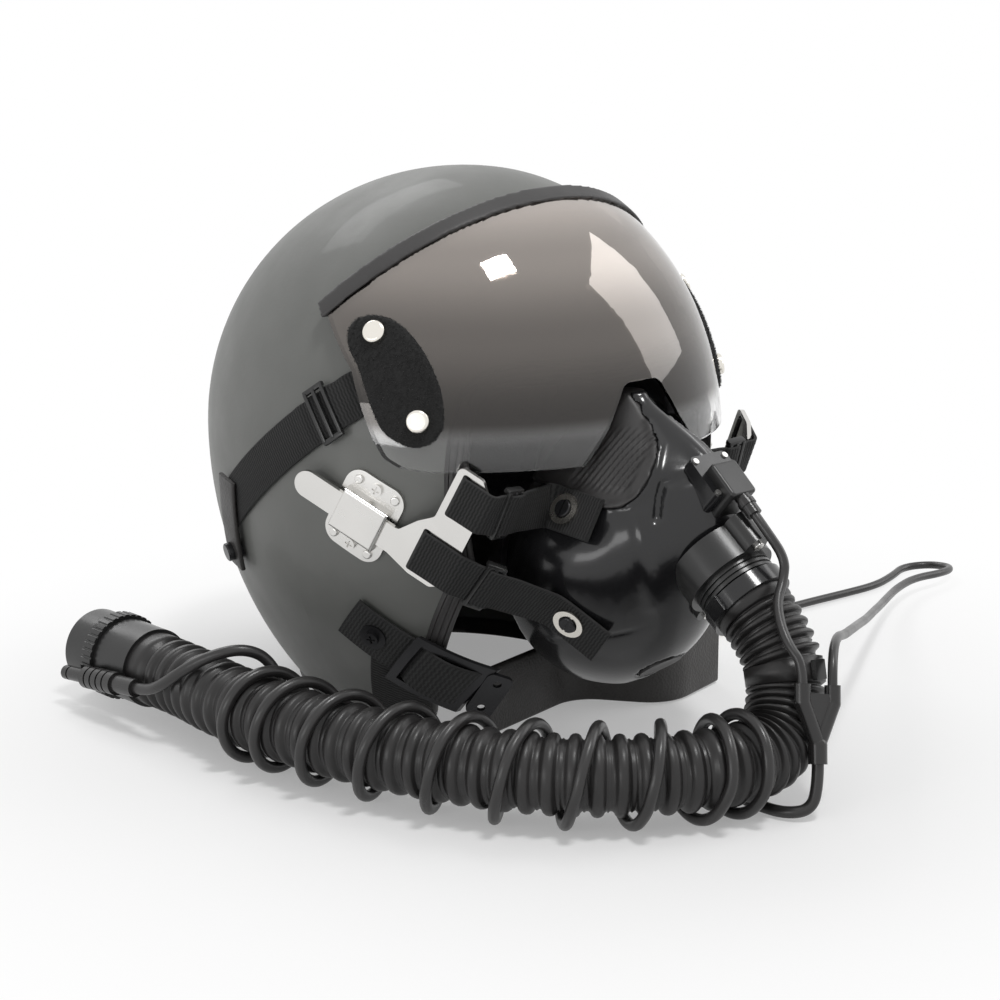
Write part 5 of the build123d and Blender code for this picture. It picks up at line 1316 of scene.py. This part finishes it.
class HELMET_OT_visor(Operator):
    """Make the visor's hook patches and its rubber trim"""
    bl_idname = "helmet.visor"
    bl_label = "Visor"

    def execute(self, context):
        points, faces = [], []
        for side, _ in SIDES:
            self.patch(side, points, faces)
        patch = mesh_piece("hook_patches", points, faces, "hook_fabric", sharp=60.0, body="visor")
        turn_faces_out(patch, merge=True)
        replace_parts(patch, "visor_patches")
        mesh = run_tree(patch, patch_tree(), {
            "Material": FINISHES["hook_fabric"], "Length": context.scene.helmet_sizes.hook_length,
            "Density": FIBRE_DENSITY, "Seed": FIBRE_SEED})
        patch.modifiers.clear()
        patch.data = mesh
        soft_copy("visor_trim_strip", "visor_trim", TRIM_VOXEL, "soft_rubber", smooth=3, body="visor")
        return {"FINISHED"}

    def patch(self, side, points, faces):
        """A pile patch with rounded ends and a slightly ragged edge, as rings about its middle."""
        outline = [Vector(spot) for spot in PATCH_OUTLINE]
        for _ in range(PATCH_ROUNDS):
            outline = [a.lerp(b, share) for a, b in zip(outline, outline[1:] + outline[:1])
                       for share in (0.25, 0.75)]
        middle = sum(outline, Vector((0.0, 0.0))) / len(outline)
        start, count = len(points), len(outline)
        for share, rise in PATCH_RINGS:
            for spot in outline:
                here = Vector((spot.x, spot.y, RAGGED_PLANE)) * RAGGED_SCALE
                ragged = 1.0 + RAGGED_SHARE * share * noise.noise(here)
                y, z = middle + (spot - middle) * share * ragged
                points.append(dome(y, z, LENS_OUT + PATCH_RISE * rise, side)[0])
        last = start + (len(PATCH_RINGS) - 1) * count
        for low in range(start, last, count):
            for k in range(count):
                m = (k + 1) % count
                faces.append((low + k, low + m, low + count + m, low + count + k))
        faces.append(tuple(start + k for k in range(count)))
        faces.append(tuple(last + k for k in range(count)))


class HELMET_PT_panel(Panel):
    """Lists the sizes and colours of the helmet and the steps that build it"""
    bl_idname = "HELMET_PT_panel"
    bl_label = "Pilot flight helmet"
    bl_space_type = "VIEW_3D"
    bl_region_type = "UI"
    bl_category = "Helmet"

    def draw(self, context):
        column = self.layout.column()
        for group in (context.scene.helmet_sizes, context.scene.helmet_colours):
            for name in group.bl_rna.properties.keys():
                if name not in ("rna_type", "name"):
                    column.prop(group, name)
        for operator in OPERATORS:
            column.operator(operator.bl_idname)


OPERATORS = (HELMET_OT_stage, HELMET_OT_hose, HELMET_OT_cables, HELMET_OT_hard_parts, HELMET_OT_edge_roll,
             HELMET_OT_lining, HELMET_OT_straps, HELMET_OT_mask, HELMET_OT_mask_straps, HELMET_OT_visor)
CLASSES = (HelmetSizes, HelmetColours, *OPERATORS, HELMET_PT_panel)


def register():
    """Adds the classes and the scene's settings."""
    for item in CLASSES:
        bpy.utils.register_class(item)
    bpy.types.Scene.helmet_sizes = PointerProperty(type=HelmetSizes)
    bpy.types.Scene.helmet_colours = PointerProperty(type=HelmetColours)


def unregister():
    """Takes the classes and the scene's settings away."""
    del bpy.types.Scene.helmet_colours
    del bpy.types.Scene.helmet_sizes
    for item in reversed(CLASSES):
        bpy.utils.unregister_class(item)


def main():
    """Builds the helmet."""
    register()
    make_finishes(bpy.context.scene.helmet_colours)
    for operator in OPERATORS:
        group, step = operator.bl_idname.split(".")
        getattr(getattr(bpy.ops, group), step)()
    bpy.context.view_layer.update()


if __name__ == "__main__":
    main()
